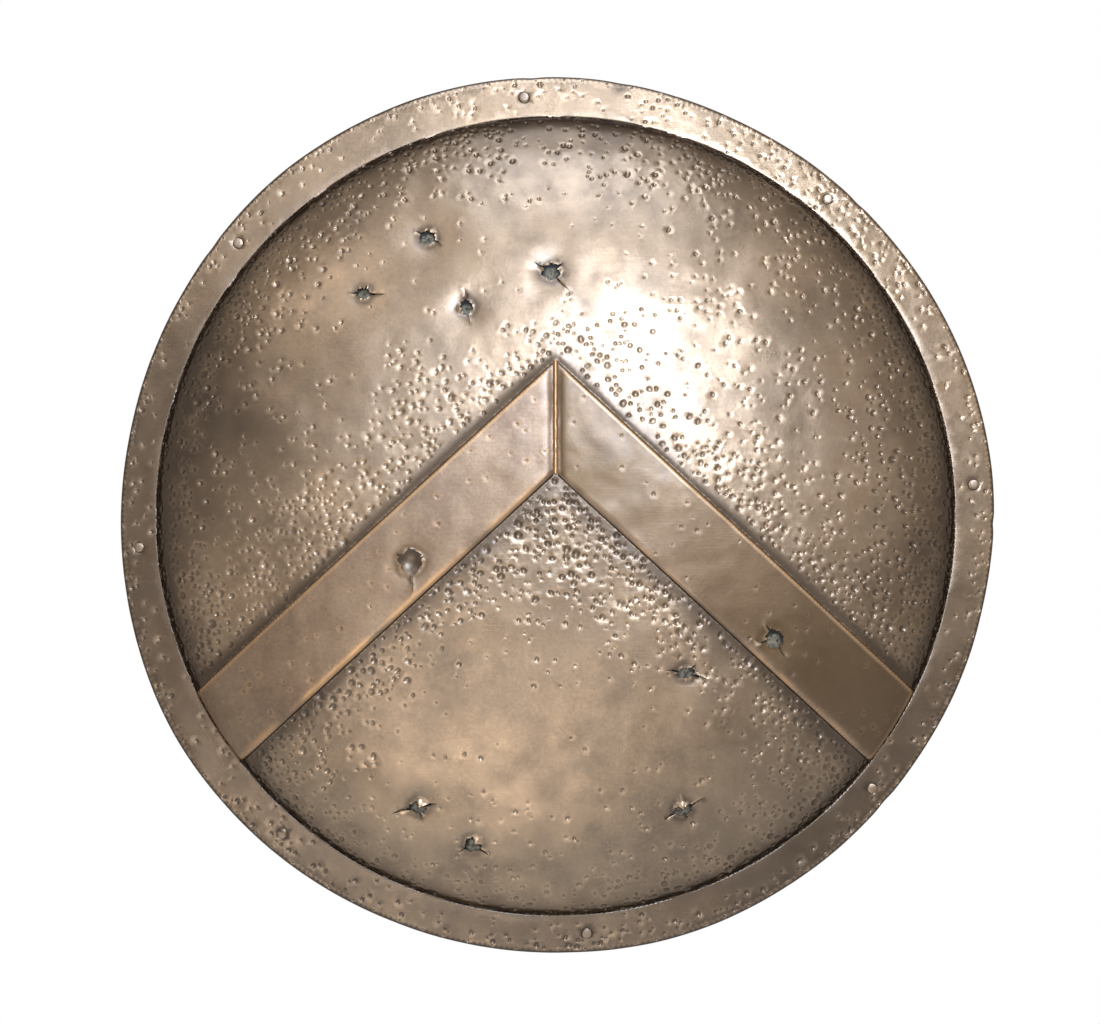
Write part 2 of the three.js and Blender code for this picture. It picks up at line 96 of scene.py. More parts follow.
def linear(hex_colour):
    """A linear RGBA colour from an sRGB hex one."""
    parts = [int(hex_colour[i:i + 2], 16) / 255 for i in (1, 3, 5)]
    return [p / 12.92 if p <= 0.04045 else ((p + 0.055) / 1.055) ** 2.4 for p in parts] + [1.0]


def colour_prop(name, description, hex_colour):
    return bpy.props.FloatVectorProperty(
        name=name, description=description, subtype="COLOR", size=4, min=0, max=1,
        default=linear(hex_colour),
    )


def length_prop(name, description, default, low=0.0):
    return bpy.props.FloatProperty(
        name=name, description=description, default=default, min=low, subtype="DISTANCE", unit="LENGTH",
    )


def count_prop(name, description, default):
    return bpy.props.IntProperty(name=name, description=description, default=default, min=0)


# Settings


class AspisFaceSettings(bpy.types.PropertyGroup):
    """Sizes of the hammered and battered bronze."""

    grid: length_prop("Grid", "Spacing of the sheet's plain mesh", 5.6 * mm, 2 * mm)
    dents: count_prop("Dents", "Small craters in the dome", 3300)
    rim_dents: count_prop("Rim dents", "Craters in the rim", 430)
    arm_dents: count_prop("Arm dents", "Craters in the chevron", 38)
    dent_depth: bpy.props.FloatProperty(
        name="Dent depth", description="A crater's depth as a share of its radius", default=0.25, min=0)
    waviness: length_prop("Waviness", "How far the beaten sheet strays from a true bowl", 0.9 * mm)
    seed: bpy.props.IntProperty(name="Seed", description="Seed of the dents", default=7)


class AspisColourSettings(bpy.types.PropertyGroup):
    """Colours of the shield's materials."""

    bronze: colour_prop("Bronze", "Dull, aged bronze of the dome and rim", "#604f3e")
    rubbed: colour_prop("Rubbed bronze", "Bronze that handling keeps bright", "#7b6650")
    # The patina colour is also the colour of painted shade
    patina_and_shade: colour_prop("Patina", "Dark oxide in creases and dents", "#34291f")
    chevron: colour_prop("Chevron bronze", "Redder bronze of the chevron", "#5d4a3a")
    # The edge colour is also the colour of painted highlights
    edge: colour_prop("Edge bronze", "Coppery metal along worn edges", "#9e774e")
    fittings: colour_prop("Fittings bronze", "Bronze of the armband, rings and nails", "#9a7c4e")
    pitch: colour_prop("Pitch", "Grey-green filling that shows in the punctures", "#6a6150")
    wood: colour_prop("Wood", "Poplar of the core", "#9c7748")
    wood_dark: colour_prop("Wood grain", "Late wood of the core's grain", "#7d5731")
    leather: colour_prop("Leather", "Oak-tanned leather of the lining", "#744a2b")
    strap: colour_prop("Strap leather", "Greased leather of the hand grip", "#5d3820")
    leather_dark: colour_prop("Leather creases", "Leather darkened in its creases", "#3f2616")
    thread: colour_prop("Thread", "Waxed linen thread of the seams", "#c9b48a")
    floor: colour_prop("Floor", "Studio floor", "#efefed")


def face_settings():
    return bpy.context.scene.aspis_face


def colours():
    return bpy.context.scene.aspis_colours


# Meshes


def linked(name, data):
    """A new object in the scene, of a mesh, lamp or camera."""
    made = bpy.data.objects.new(name, data)
    bpy.context.scene.collection.objects.link(made)
    return made


def plain(rows):
    """Rows of an array or a list as plain lists."""
    return rows.tolist() if isinstance(rows, np.ndarray) else [tuple(row) for row in rows]


def smoothed(mesh, material=None, sharp=48):
    """A mesh made smooth except at edges sharper than an angle in degrees, and given its material."""
    mesh.shade_smooth()
    mesh.set_sharp_from_angle(angle=math.radians(sharp))
    if material:
        mesh.materials.append(material)
    return mesh


def new_mesh(name, points, faces, edges=()):
    mesh = bpy.data.meshes.new(name)
    mesh.from_pydata(plain(points), plain(edges), plain(faces))
    return mesh


def faced_piece(name, points, faces, material):
    """A smooth mesh piece whose faces are turned outward."""
    mesh = new_mesh(name, points, faces)
    shape = bmesh.new()
    shape.from_mesh(mesh)
    bmesh.ops.recalc_face_normals(shape, faces=shape.faces)
    shape.to_mesh(mesh)
    shape.free()
    return linked(name, smoothed(mesh, material))


def finish_piece(piece, body, slot, *nodes):
    """Hands a piece over: the body it rides on and the solids it stands in for; its slot is not used."""
    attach(piece, body)
    if nodes:
        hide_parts(*nodes)
    return {"FINISHED"}


def set_wear_and_painted_light(piece, values):
    """How worn the metal is at each point, and where shade or a highlight is painted: below 0 where patina
    gathers or shade is painted, above 0 where it is rubbed or a highlight is painted.
    """
    layer = piece.data.attributes.new("wear_and_painted_light", "FLOAT", "POINT")
    layer.data.foreach_set("value", np.clip(values, -1, 1).astype(np.float32))


def smoothstep(low, high, value):
    t = np.clip((value - low) / (high - low), 0, 1)
    return t * t * (3 - 2 * t)


def bell(value, width):
    return np.exp(-(value / width) ** 2)


def in_mm(rows):
    return [tuple(value * mm for value in row) for row in rows]


def ring(count, radius, middle=(0, 0), turn=0.0):
    """Points on a circle, counter-clockwise from +X."""
    angles = turn + np.arange(count) * 2 * math.pi / count
    return np.column_stack([middle[0] + radius * np.cos(angles), middle[1] + radius * np.sin(angles)])


class Profile:
    """A curve of radius and height turned about the shield's axis, and unrolled to a flat disc on
    which a point's distance from the middle is the curve's length."""

    def __init__(self, points, start=0.0, soften=0.6 * mm):
        points = np.array(points, float)
        steps = np.hypot(*np.diff(points, axis=0).T)
        length = np.concatenate([[0], np.cumsum(steps)])
        fine = np.linspace(0, length[-1], max(400, int(length[-1] / (0.2 * mm))))
        self.s = start + fine
        self.r = np.interp(fine, length, points[:, 0])
        self.h = np.interp(fine, length, points[:, 1])
        near = max(1, int(soften / (fine[1] - fine[0])))
        index, last = np.arange(len(fine)), len(fine) - 1
        ahead, behind = np.minimum(index + near, last), np.maximum(index - near, 0)
        dr, dh = self.r[ahead] - self.r[behind], self.h[ahead] - self.h[behind]
        size = np.hypot(dr, dh)
        self.nr, self.nh = -dh / size, dr / size
        self.outward = int(np.argmax(self.r)) + 1

    def place(self, flat, out=0.0):
        """Points in the shield's frame for points of the disc, stood out from the curve by a distance."""
        s = np.hypot(flat[:, 0], flat[:, 1])
        safe = np.maximum(s, 1e-9)
        cos, sin = flat[:, 0] / safe, flat[:, 1] / safe
        r = np.interp(s, self.s, self.r) + out * np.interp(s, self.s, self.nr)
        h = np.interp(s, self.s, self.h) + out * np.interp(s, self.s, self.nh)
        return np.column_stack([r * cos, RIM_BACK - h, r * sin])

    def unroll(self, places):
        """Points of the disc for places in front of the shield's back, given by x and z."""
        places = np.atleast_2d(np.asarray(places, float))
        r = np.hypot(places[:, 0], places[:, 1])
        scale = np.interp(r, self.r[:self.outward], self.s[:self.outward]) / np.maximum(r, 1e-9)
        return places * scale[:, None]


def dome_curve(inset, steps=240):
    """The dome's superellipse sunk by an inset, as radius and height from its middle to its foot."""
    turn = np.linspace(0, math.pi / 2, steps)
    r = (BOWL_RADIUS - inset) * np.sin(turn) ** (2 / DOME_EXPONENT)
    h = DOME_BASE - inset + DOME_RISE * np.maximum(np.cos(turn), 0) ** (2 / DOME_EXPONENT)
    return np.column_stack([r, h])


def dome_height(r, inset=0.0):
    share = np.minimum(np.asarray(r) / (BOWL_RADIUS - inset), 1)
    return DOME_BASE - inset + DOME_RISE * (1 - share ** DOME_EXPONENT) ** (1 / DOME_EXPONENT)


def pixel_place(px, py):
    """x and z on the dome's face behind a pixel of the photograph."""
    flat = np.array([px - PHOTO_MIDDLE[0], PHOTO_MIDDLE[1] - py]) * PIXEL
    place = flat
    for _ in range(4):
        nearer = (dome_height(np.hypot(*place)) - RIM_INNER_HEIGHT) / CAMERA_DISTANCE
        place = flat * (1 - nearer)
    return place


def hex_grid(spacing, reach):
    """A triangular grid that covers a square about the middle."""
    rows = int(reach / (spacing * math.sqrt(3) / 2)) + 1
    columns = int(reach / spacing) + 1
    j, i = np.mgrid[-rows:rows + 1, -columns:columns + 1]
    x, y = (i + (j % 2) / 2) * spacing, j * spacing * math.sqrt(3) / 2
    return np.column_stack([x.ravel(), y.ravel()])


def inside(points, loop):
    """Which points lie inside a closed outline, by crossings of a ray."""
    result = np.zeros(len(points), bool)
    low, high = loop.min(0), loop.max(0)
    near = np.flatnonzero(((points >= low) & (points <= high)).all(1))
    if not len(near):
        return result
    x, y = points[near].T
    hits = np.zeros(len(near), int)
    for (x0, y0), (x1, y1) in zip(loop, np.roll(loop, -1, axis=0)):
        if y0 != y1:
            crossed = ((y0 > y) != (y1 > y)) & (x < (x1 - x0) * (y - y0) / (y1 - y0) + x0)
            hits += crossed
    result[near] = hits % 2 == 1
    return result


def flat_tree(points):
    """A search tree of flat points."""
    tree = kdtree.KDTree(len(points))
    for i, (x, y) in enumerate(points):
        tree.insert((x, y, 0), i)
    tree.balance()
    return tree


def clear_of(points, others, distance):
    """Which points keep a distance from all of the others."""
    tree = flat_tree(others)
    return np.array([not tree.find_range((x, y, 0), distance) for x, y in points], bool)


def thinned(points, distance):
    """Points with each that comes too close to an earlier one left out."""
    cells, kept = {}, []
    for i, (x, y) in enumerate(points):
        cx, cy = int(x // distance), int(y // distance)
        near = (cells.get((cx + a, cy + b)) for a in (-1, 0, 1) for b in (-1, 0, 1))
        if all(p is None or all((x - u) ** 2 + (y - v) ** 2 >= distance ** 2 for u, v in p) for p in near):
            cells.setdefault((cx, cy), []).append((x, y))
            kept.append(i)
    return np.array(kept, int)


def cut_triangles(points, loops, outline=True):
    """Delaunay triangles inside the first loop and outside the others. The loops' points come first."""
    edges, start = [], 0
    for loop in loops:
        count = len(loop)
        edges += [(start + i, start + (i + 1) % count) for i in range(count)]
        start += count
    made = delaunay_2d_cdt([Vector(p) for p in points], edges, [], 0, 1e-8, False)
    if len(made[0]) != len(points):
        raise RuntimeError(f"{len(points) - len(made[0])} points of a sheet fell together")
    triangles = np.array(made[2])
    middles = points[triangles].mean(1)
    keep = inside(middles, loops[0]) if outline else np.ones(len(middles), bool)
    for hole in loops[1:]:
        keep &= ~inside(middles, hole)
    return triangles[keep]


def sheet_piece(name, profile, loops, fill, coarse, heights, wear_and_painted_light, under, material, warp=plain):
    """A sheet that follows a profile: an outer skin through the loops and the fill, an inner skin
    through the loops and a coarser fill, and walls along the loops. heights and wear belong to the
    outer skin's points and under to the inner skin's, all with the loops' points first."""
    border = np.vstack(loops)
    outer, inner = np.vstack([border, fill]), np.vstack([border, coarse])
    points = warp(np.vstack([profile.place(outer, heights), profile.place(inner, under)]))
    faces = [cut_triangles(outer, loops), cut_triangles(inner, loops)[:, ::-1] + len(outer)]
    start = 0
    for loop in loops:
        a = start + np.arange(len(loop))
        b = start + (np.arange(len(loop)) + 1) % len(loop)
        faces.append(np.column_stack([a, a + len(outer), b]))
        faces.append(np.column_stack([b, a + len(outer), b + len(outer)]))
        start += len(loop)
    piece = linked(name, smoothed(new_mesh(name, points, np.vstack(faces)), material))
    set_wear_and_painted_light(piece, np.concatenate([wear_and_painted_light, np.full(len(inner), -0.5)]))
    return piece


def wound(loops):
    """The first loop counter-clockwise and the others clockwise, so that the sheet is on their left."""
    turned = []
    for i, loop in enumerate(loops):
        x, y = loop.T
        area = np.sum(x * np.roll(y, -1) - np.roll(x, -1) * y)
        turned.append(loop if (area > 0) == (i == 0) else loop[::-1])
    return turned


# Dents


class Dents:
    """Small craters on a flat disc, each a slightly stretched bowl with a raised lip."""

    def __init__(self, rng, count, candidates, chance, radii, depth, deepest, crowding=0.94):
        low, high = radii
        size = low + (high - low) * rng.beta(1.3, 2.7, len(candidates))
        size *= 0.62 + 0.38 * np.minimum(1, 2 * chance / chance.max())
        drawn = rng.random(len(candidates)) < chance
        cell, cells, kept = 2 * high, {}, []
        for i in np.flatnonzero(drawn):
            (x, y), r = candidates[i], size[i]
            cx, cy = int(x // cell), int(y // cell)
            near = [p for a in (-1, 0, 1) for b in (-1, 0, 1) for p in cells.get((cx + a, cy + b), ())]
            if all((x - u) ** 2 + (y - v) ** 2 > (crowding * (r + q)) ** 2 for u, v, q in near):
                cells.setdefault((cx, cy), []).append((x, y, r))
                kept.append(i)
                if len(kept) == count:
                    break
        self.at, self.radius = candidates[kept], size[kept]
        self.depth = np.broadcast_to(depth, len(size))[kept] * self.radius
        self.depth = self.depth * rng.uniform(0.55, 1.25, len(kept))
        self.depth = np.minimum(self.depth, deepest)
        self.stretch = rng.uniform(0.78, 1.25, len(kept))
        self.turn = rng.uniform(0, math.pi, len(kept))

    def mesh_points(self):
        """A centre and three rings for each dent."""
        found = [self.at]
        cos, sin = np.cos(self.turn), np.sin(self.turn)
        for share, count, least in ((0.42, 5, 2.4 * mm), (0.78, 8, 0), (1.12, 8, 0)):
            for i in range(count):
                angle = 2 * math.pi * (i + share) / count
                a = self.radius * share * self.stretch * math.cos(angle)
                b = self.radius * share / self.stretch * math.sin(angle)
                ring_point = self.at + np.column_stack([a * cos - b * sin, a * sin + b * cos])
                found.append(ring_point[self.radius > least])
        return np.vstack(found)

    def shape(self, flat):
        """How far the dents move each flat point, and the wear they give it."""
        height, wear_and_painted_light = np.zeros(len(flat)), np.zeros(len(flat))
        tree = flat_tree(flat)
        for at, radius, depth, stretch, turn in zip(
                self.at, self.radius, self.depth, self.stretch, self.turn):
            found = tree.find_range((at[0], at[1], 0), 1.9 * radius)
            if not found:
                continue
            index = np.array([i for _, i, _ in found])
            x, y = (flat[index] - at).T
            a = (x * math.cos(turn) + y * math.sin(turn)) / stretch
            b = (y * math.cos(turn) - x * math.sin(turn)) * stretch
            away = np.hypot(a, b) / radius
            bowl = 1 - smoothstep(0.28, 1.02, away)
            lip = bell(away - 1.14, 0.22)
            height[index] += depth * (0.22 * lip - bowl)
            wear_and_painted_light[index] += 0.35 * lip - 0.35 * bell(away - 0.72, 0.3) - 0.1 * bowl
        return height, wear_and_painted_light

    def swallow(self, flat):
        """Which flat points stand clear of every dent."""
        clear = np.ones(len(flat), bool)
        tree = flat_tree(flat)
        for (x, y), radius in zip(self.at, self.radius):
            for _, i, _ in tree.find_range((x, y, 0), 1.5 * radius):
                clear[i] = False
        return clear


def unevenness(points, amount, scale, seed):
    """A gentle rise and fall from smooth noise, at flat points."""
    return np.array([amount * noise.fractal((x / scale, y / scale, seed), 1.0, 2.0, 3) for x, y in points])


def arm_depth(places):
    """How far x and z places lie below the chevron's upper line and above its lower one."""
    x, z = np.abs(places[:, 0]), places[:, 1]
    below = (APEX_HEIGHT - x * math.tan(ARM_SLOPE) - z) * math.cos(ARM_SLOPE)
    return below, ARM_WIDTH - below


# Patches with more dents than the rest of the dome: middle in the photograph, reach in millimetres, share
DENT_PATCHES = (
    (690, 300, 55, 0.15), (760, 350, 60, 0.1), (420, 400, 35, 0.5), (300, 520, 40, 0.3),
    (860, 440, 60, 0.2), (760, 500, 50, 0.3), (640, 150, 45, 0.1), (480, 150, 45, 0.1),
    (250, 240, 45, 0.35), (640, 600, 40, 0.25),
)
# How likely dents are beside the crease, by the turn clockwise from the top in degrees
EDGE_TURNS = (-180, -140, -95, -60, -20, 0, 25, 60, 110, 150, 180)
EDGE_CHANCES = (0.45, 0.5, 0.9, 1.1, 0.7, 0.45, 0.8, 1.1, 1.0, 0.6, 0.45)


def patches(places, rows):
    """The sum of soft round patches at places on the dome."""
    total = np.zeros(len(places))
    for px, py, reach, amount in rows:
        away = np.sum((places - pixel_place(px, py)) ** 2, axis=1)
        total += amount * np.exp(-away / (reach * mm) ** 2)
    return total


def dent_chance(places):
    """How likely a dent is at places on the dome: belts along the chevron and the crease, and patches."""
    x, z = places.T
    below, above = arm_depth(places)
    over, under = np.maximum(-below, 0), np.maximum(-above, 0)
    to_crease = BOWL_RADIUS - np.hypot(x, z)
    around = np.degrees(np.arctan2(x, z))
    reach = 26 * mm + np.where(x > 0, 0.105, 0.14) * np.abs(x)
    outer_belt = (below < 0) * np.exp(-(over / reach) ** 1.5) * np.where(x > 0, 0.9, 0.8)
    inner_belt = (above < 0) * np.exp(-(under / (44 * mm)) ** 1.4) * 0.8
    under_apex = (above < 0) * np.exp(-(x ** 2 + (z - 5 * mm) ** 2) / (68 * mm) ** 2)
    over_apex = (below < 0) * np.exp(-((x - 60 * mm) ** 2 + (z - 168 * mm) ** 2) / (48 * mm) ** 2)
    edge = np.exp(-to_crease / (36 * mm)) * np.interp(around, EDGE_TURNS, EDGE_CHANCES)
    total = 0.005 + outer_belt + inner_belt + 1.2 * under_apex + 0.12 * over_apex + edge
    total += patches(places, DENT_PATCHES)
    return np.where((below > -8 * mm) & (above > -3 * mm), 0, np.minimum(total, 1))

# Punctures: middle in the photograph, the hole's radius, its stretch and turn, how deep and wide the
# sheet is dished round it, how high its torn lip stands and where, its cracks as turn and length, and
# a flap of sheet bent out of it, as turn, half width, reach into the hole and rise
PUNCTURES = (
    (427, 237, 8.0, 1.15, 10, 1.8, 20, 1.5, 60, ((-25, 7), (150, 7)), (50, 24, 0.3, 2.0)),
    (363, 293, 6.5, 1.35, 0, 1.6, 17, 1.3, 190, ((-4, 17), (176, 7), (60, 4)), (75, 20, 0.3, 1.5)),
    (466, 307, 7.0, 0.85, 0, 1.7, 17, 1.4, 170, ((95, 13), (-80, 11)), (200, 20, 0.25, 1.2)),
    (551, 271, 9.0, 1.1, 0, 2.0, 18, 1.2, 90, ((150, 12), (-48, 18), (40, 6)), (15, 16, 0.2, 1.2)),
    (686, 673, 7.0, 1.9, 8, 1.4, 15, 1.5, 270, ((-18, 17), (172, 13), (40, 5)), (-12, 18, 0.45, 2.2)),
    (418, 808, 7.5, 1.5, -12, 1.6, 17, 1.6, 45, ((192, 19), (14, 15), (-70, 6)), (48, 50, 0.85, 3.6)),
    (473, 845, 8.0, 1.1, 0, 1.6, 17, 1.4, 60, ((205, 10), (-35, 9)), (45, 45, 0.75, 3.4)),
    (683, 810, 8.0, 1.6, 18, 1.8, 17, 1.6, 90, ((28, 17), (208, 13), (-60, 5)), (95, 62, 0.85, 3.8)),
)
ARM_PUNCTURES = {
    "left": ((411, 562, 12.5, 1.0, 0, 1.0, 14, 1.2, 60, ((-88, 20), (25, 3), (150, 3)),
              (215, 16, 0.12, 1.0)),),
    "right": ((773, 638, 8.8, 1.0, 0, 0.8, 12, 1.1, 300, ((196, 9), (-58, 13), (118, 9)),
               (190, 16, 0.4, 1.4)),),
}


class Puncture:
    """A ragged hole with cracks and a bent flap, in a dish of sheet, on a flat disc."""

    def __init__(self, profile, row):
        px, py, radius, stretch, turn, dish, width, lip, lip_turn, cracks, flap = row
        self.at = profile.unroll(pixel_place(px, py))[0]
        self.radius, self.stretch, self.turn = radius * mm, stretch, math.radians(turn)
        self.dish, self.width = dish * mm, width * mm
        self.lip, self.lip_turn = lip * mm, math.radians(lip_turn)
        self.cracks = [(math.radians(a), length * mm) for a, length in cracks]
        self.flap = math.radians(flap[0]), math.radians(flap[1]), flap[2], flap[3] * mm
        self.seed = px + py / 7

    def edge(self, angle):
        """The hole's radius at an angle, with a ragged edge."""
        a, wide = angle - self.turn, math.sqrt(self.stretch)
        oval = self.radius / math.hypot(math.cos(a) / wide, math.sin(a) * wide)
        ragged = 0.0
        for amount, pace, shift in ((0.26, 2.2, 0), (0.2, 8, 5)):
            ragged += amount * noise.noise(
                (math.cos(angle) * pace, math.sin(angle) * pace, self.seed + shift))
        turn, half, reach, _ = self.flap
        tooth = max(0.0, 1 - abs(math.remainder(angle - turn, 2 * math.pi)) / half)
        return oval * (1 + ragged) * (1 - reach * tooth)

    def spot(self, angle, r):
        return self.at + np.array([math.cos(angle), math.sin(angle)]) * r

    def loop(self):
        """The hole's outline, with each crack a thin wedge that kinks half way."""
        groups = []
        for i in range(40):
            angle = i * 2 * math.pi / 40
            if all(abs(math.remainder(angle - crack, 2 * math.pi)) > 0.16 for crack, _ in self.cracks):
                groups.append([(angle, self.edge(angle))])
        for crack, length in self.cracks:
            crack, root = crack % (2 * math.pi), self.edge(crack)
            kink = 0.06 * math.copysign(1, math.sin(self.seed * 9 + crack))
            half, middle = 0.75 * mm / root, root + 0.5 * length
            groups.append([
                (crack - 1.3 * half, root), (crack - 0.6 * half + kink, middle),
                (crack + 0.02, root + length),
                (crack + 0.6 * half + kink, middle), (crack + 1.3 * half, root)])
        groups.sort(key=lambda group: group[len(group) // 2][0])
        return np.array([self.spot(a, r) for group in groups for a, r in group])

    def rings(self):
        """Mesh points round the hole, closer together near its edge."""
        found = []
        for out, count in ((0.7, 40), (1.5, 36), (2.6, 30), (4.6, 26), (8, 24), (12, 26)):
            for i in range(count):
                angle = 2 * math.pi * (i + (out % 2) / 2) / count
                found.append(self.spot(angle, self.edge(angle) + out * mm))
        return np.array(found)

    def shape(self, flat):
        """How far the puncture moves flat points, and the wear it gives them."""
        x, y = (flat - self.at).T
        away, angle = np.hypot(x, y), np.arctan2(y, x)
        past = np.maximum(0, away - self.radius)
        facing = 0.5 + 0.5 * np.cos(angle - self.lip_turn)
        ragged = 0.5 + 0.5 * np.cos(7 * angle + self.seed) * np.cos(3 * angle + 2 * self.seed)
        lip = bell(past, 1.3 * mm)
        height = self.lip * lip * (0.3 + 0.7 * facing) * ragged
        height -= self.dish * np.exp(-(past / self.width) ** 1.4 * 2)
        wear_and_painted_light = lip * (1.1 * facing * ragged - 0.2) - 0.7 * bell(past - 3.5 * mm, 3 * mm)
        turn, half, reach, rise = self.flap
        swing = np.abs(np.remainder(angle - turn + math.pi, 2 * math.pi) - math.pi)
        tooth = np.maximum(0, 1 - swing / (1.5 * half))
        bend = np.clip((self.radius + 3.5 * mm - away) / (reach * self.radius + 3.5 * mm), 0, 1)
        bend *= np.minimum(1, 1.6 * tooth)
        height += rise * bend
        wear_and_painted_light += 1.5 * bend
        for crack, length in self.cracks:
            along = x * math.cos(crack) + y * math.sin(crack)
            across = y * math.cos(crack) - x * math.sin(crack)
            reached = (along > 0) & (along < self.radius + 1.15 * length)
            height += 0.7 * mm * bell(across, 1.8 * mm) * reached * np.tanh(across / (0.4 * mm))
            wear_and_painted_light += reached * (0.9 * bell(across - 1.2 * mm, 0.7 * mm) - bell(across + 0.8 * mm, mm))
        return height, wear_and_painted_light


# The bronze face, the rim band and the chevron


def face_profile():
    """The dome's face and the flange that lies under the rim band."""
    fall = (RIM_INNER_HEIGHT - RIM_EDGE_HEIGHT) / (SHIELD_RADIUS - BOWL_RADIUS)
    flange_height = RIM_INNER_HEIGHT - fall * (FLANGE_RADIUS - BOWL_RADIUS) - CORE_INSET
    return Profile(np.vstack([dome_curve(0), [FLANGE_RADIUS, flange_height]]))


def off_holes(points, holes, distance, share=1.0):
    """Which flat points keep a distance from a share of each puncture's radius."""
    clear = np.ones(len(points), bool)
    for hole in holes:
        clear &= np.hypot(*(points - hole.at).T) > hole.radius * share + distance
    return clear


def plain_fill(loops, spacing, holes):
    """A grid clear of the outlines and of the punctures' own rings."""
    points = hex_grid(spacing, np.abs(loops[0]).max())
    points = points[inside(points, loops[0])]
    points = points[clear_of(points, np.vstack(loops), 0.7 * spacing)]
    return points[off_holes(points, holes, 14 * mm, 1.25)]


def dented_fill(loops, grid, dents, holes, rows):
    """The outer skin's fill: rows kept as they are, the punctures' and dents' points, and a grid."""
    rows = np.vstack(rows)
    own = np.vstack([hole.rings() for hole in holes] + [dents.mesh_points()])
    own = own[clear_of(own, np.vstack(loops), 0.7 * mm) & clear_of(own, rows, 0.6 * mm)]
    for loop in loops[1:]:
        own = own[~inside(own, loop)]
    own = own[inside(own, loops[0])]
    rows = rows[clear_of(rows, np.vstack(loops), 0.2 * mm)]
    points = np.vstack([rows, own, grid[dents.swallow(grid)]])
    return points[thinned(points, 0.3 * mm)]


def hole_loops(holes):
    return [hole.loop() for hole in holes]


def flat_places(profile, flat):
    """x and z of a disc's points."""
    return profile.place(flat)[:, [0, 2]]


def random_candidates(rng, reach, count):
    """Points spread evenly over a disc."""
    angle, r = rng.uniform(0, 2 * math.pi, count), reach * np.sqrt(rng.random(count))
    return np.column_stack([r * np.cos(angle), r * np.sin(angle)])


def crease_patina_and_shade(places):
    """Patina and painted shade: patina beside the chevron and in the dome's crease, painted shade at the
    foot of the chevron's edges and under it, and painted shade in the crease that is deepest on the left
    and right.
    """
    below, above = arm_depth(places)
    r = np.hypot(*places.T)
    over, under = np.maximum(-below, 0), np.maximum(-above, 0)
    # Above the upper edges a band of patina and a thin line of painted shade at the arm's foot; under the
    # lower edges a painted shadow that fades into patina
    beside = (below < 0) * (-0.72 * np.exp(-(over / (11 * mm)) ** 3) - 0.9 * bell(over, 2.3 * mm))
    beside -= (above < 0) * np.exp(-(under / (15 * mm)) ** 1.5)
    to_crease = np.maximum(BOWL_RADIUS - r, 0)
    # Painted shade: the crease, and a broad belt beside it, are darker on the left and right than at the
    # top and bottom
    sides = 0.35 + 0.65 * (places[:, 0] / np.maximum(r, 1 * mm)) ** 2
    return (beside * (r < ARM_END_RADIUS) - (0.5 + 0.35 * sides) * bell(to_crease, 13 * mm)
            - 0.6 * sides * np.exp(-to_crease / (42 * mm)))


# Clouds of patina and painted shade, below 0, and of rubbed metal and painted light, above 0: middle in the
# photograph, reach in millimetres, amount
PATINA_AND_LIGHT_CLOUDS = (
    (190, 400, 100, -0.45), (160, 520, 60, -0.2), (900, 560, 70, -0.25), (500, 850, 125, 0.5),
    (340, 800, 80, 0.4), (250, 590, 60, 0.2), (300, 270, 85, 0.35), (780, 250, 75, 0.25),
    (330, 500, 45, 0.3), (556, 500, 75, -0.45), (556, 165, 75, -0.25),
)


def chevron_rows(profile):
    """Rows of mesh points on the face beside the chevron's edges."""
    x = np.arange(-406, 407, 3.8) * mm
    fall, lean = math.tan(ARM_SLOPE), math.cos(ARM_SLOPE)
    rows = []
    for out in (-3, 0, 1, 2.5, 5, 8, 12):
        for sign, start in ((1, APEX_HEIGHT), (-1, APEX_HEIGHT - ARM_WIDTH / lean)):
            row = np.column_stack([x, start + sign * out * mm / lean - np.abs(x) * fall])
            rows.append(row[np.hypot(*row.T) < ARM_END_RADIUS - 4 * mm])
    return profile.unroll(np.vstack(rows))


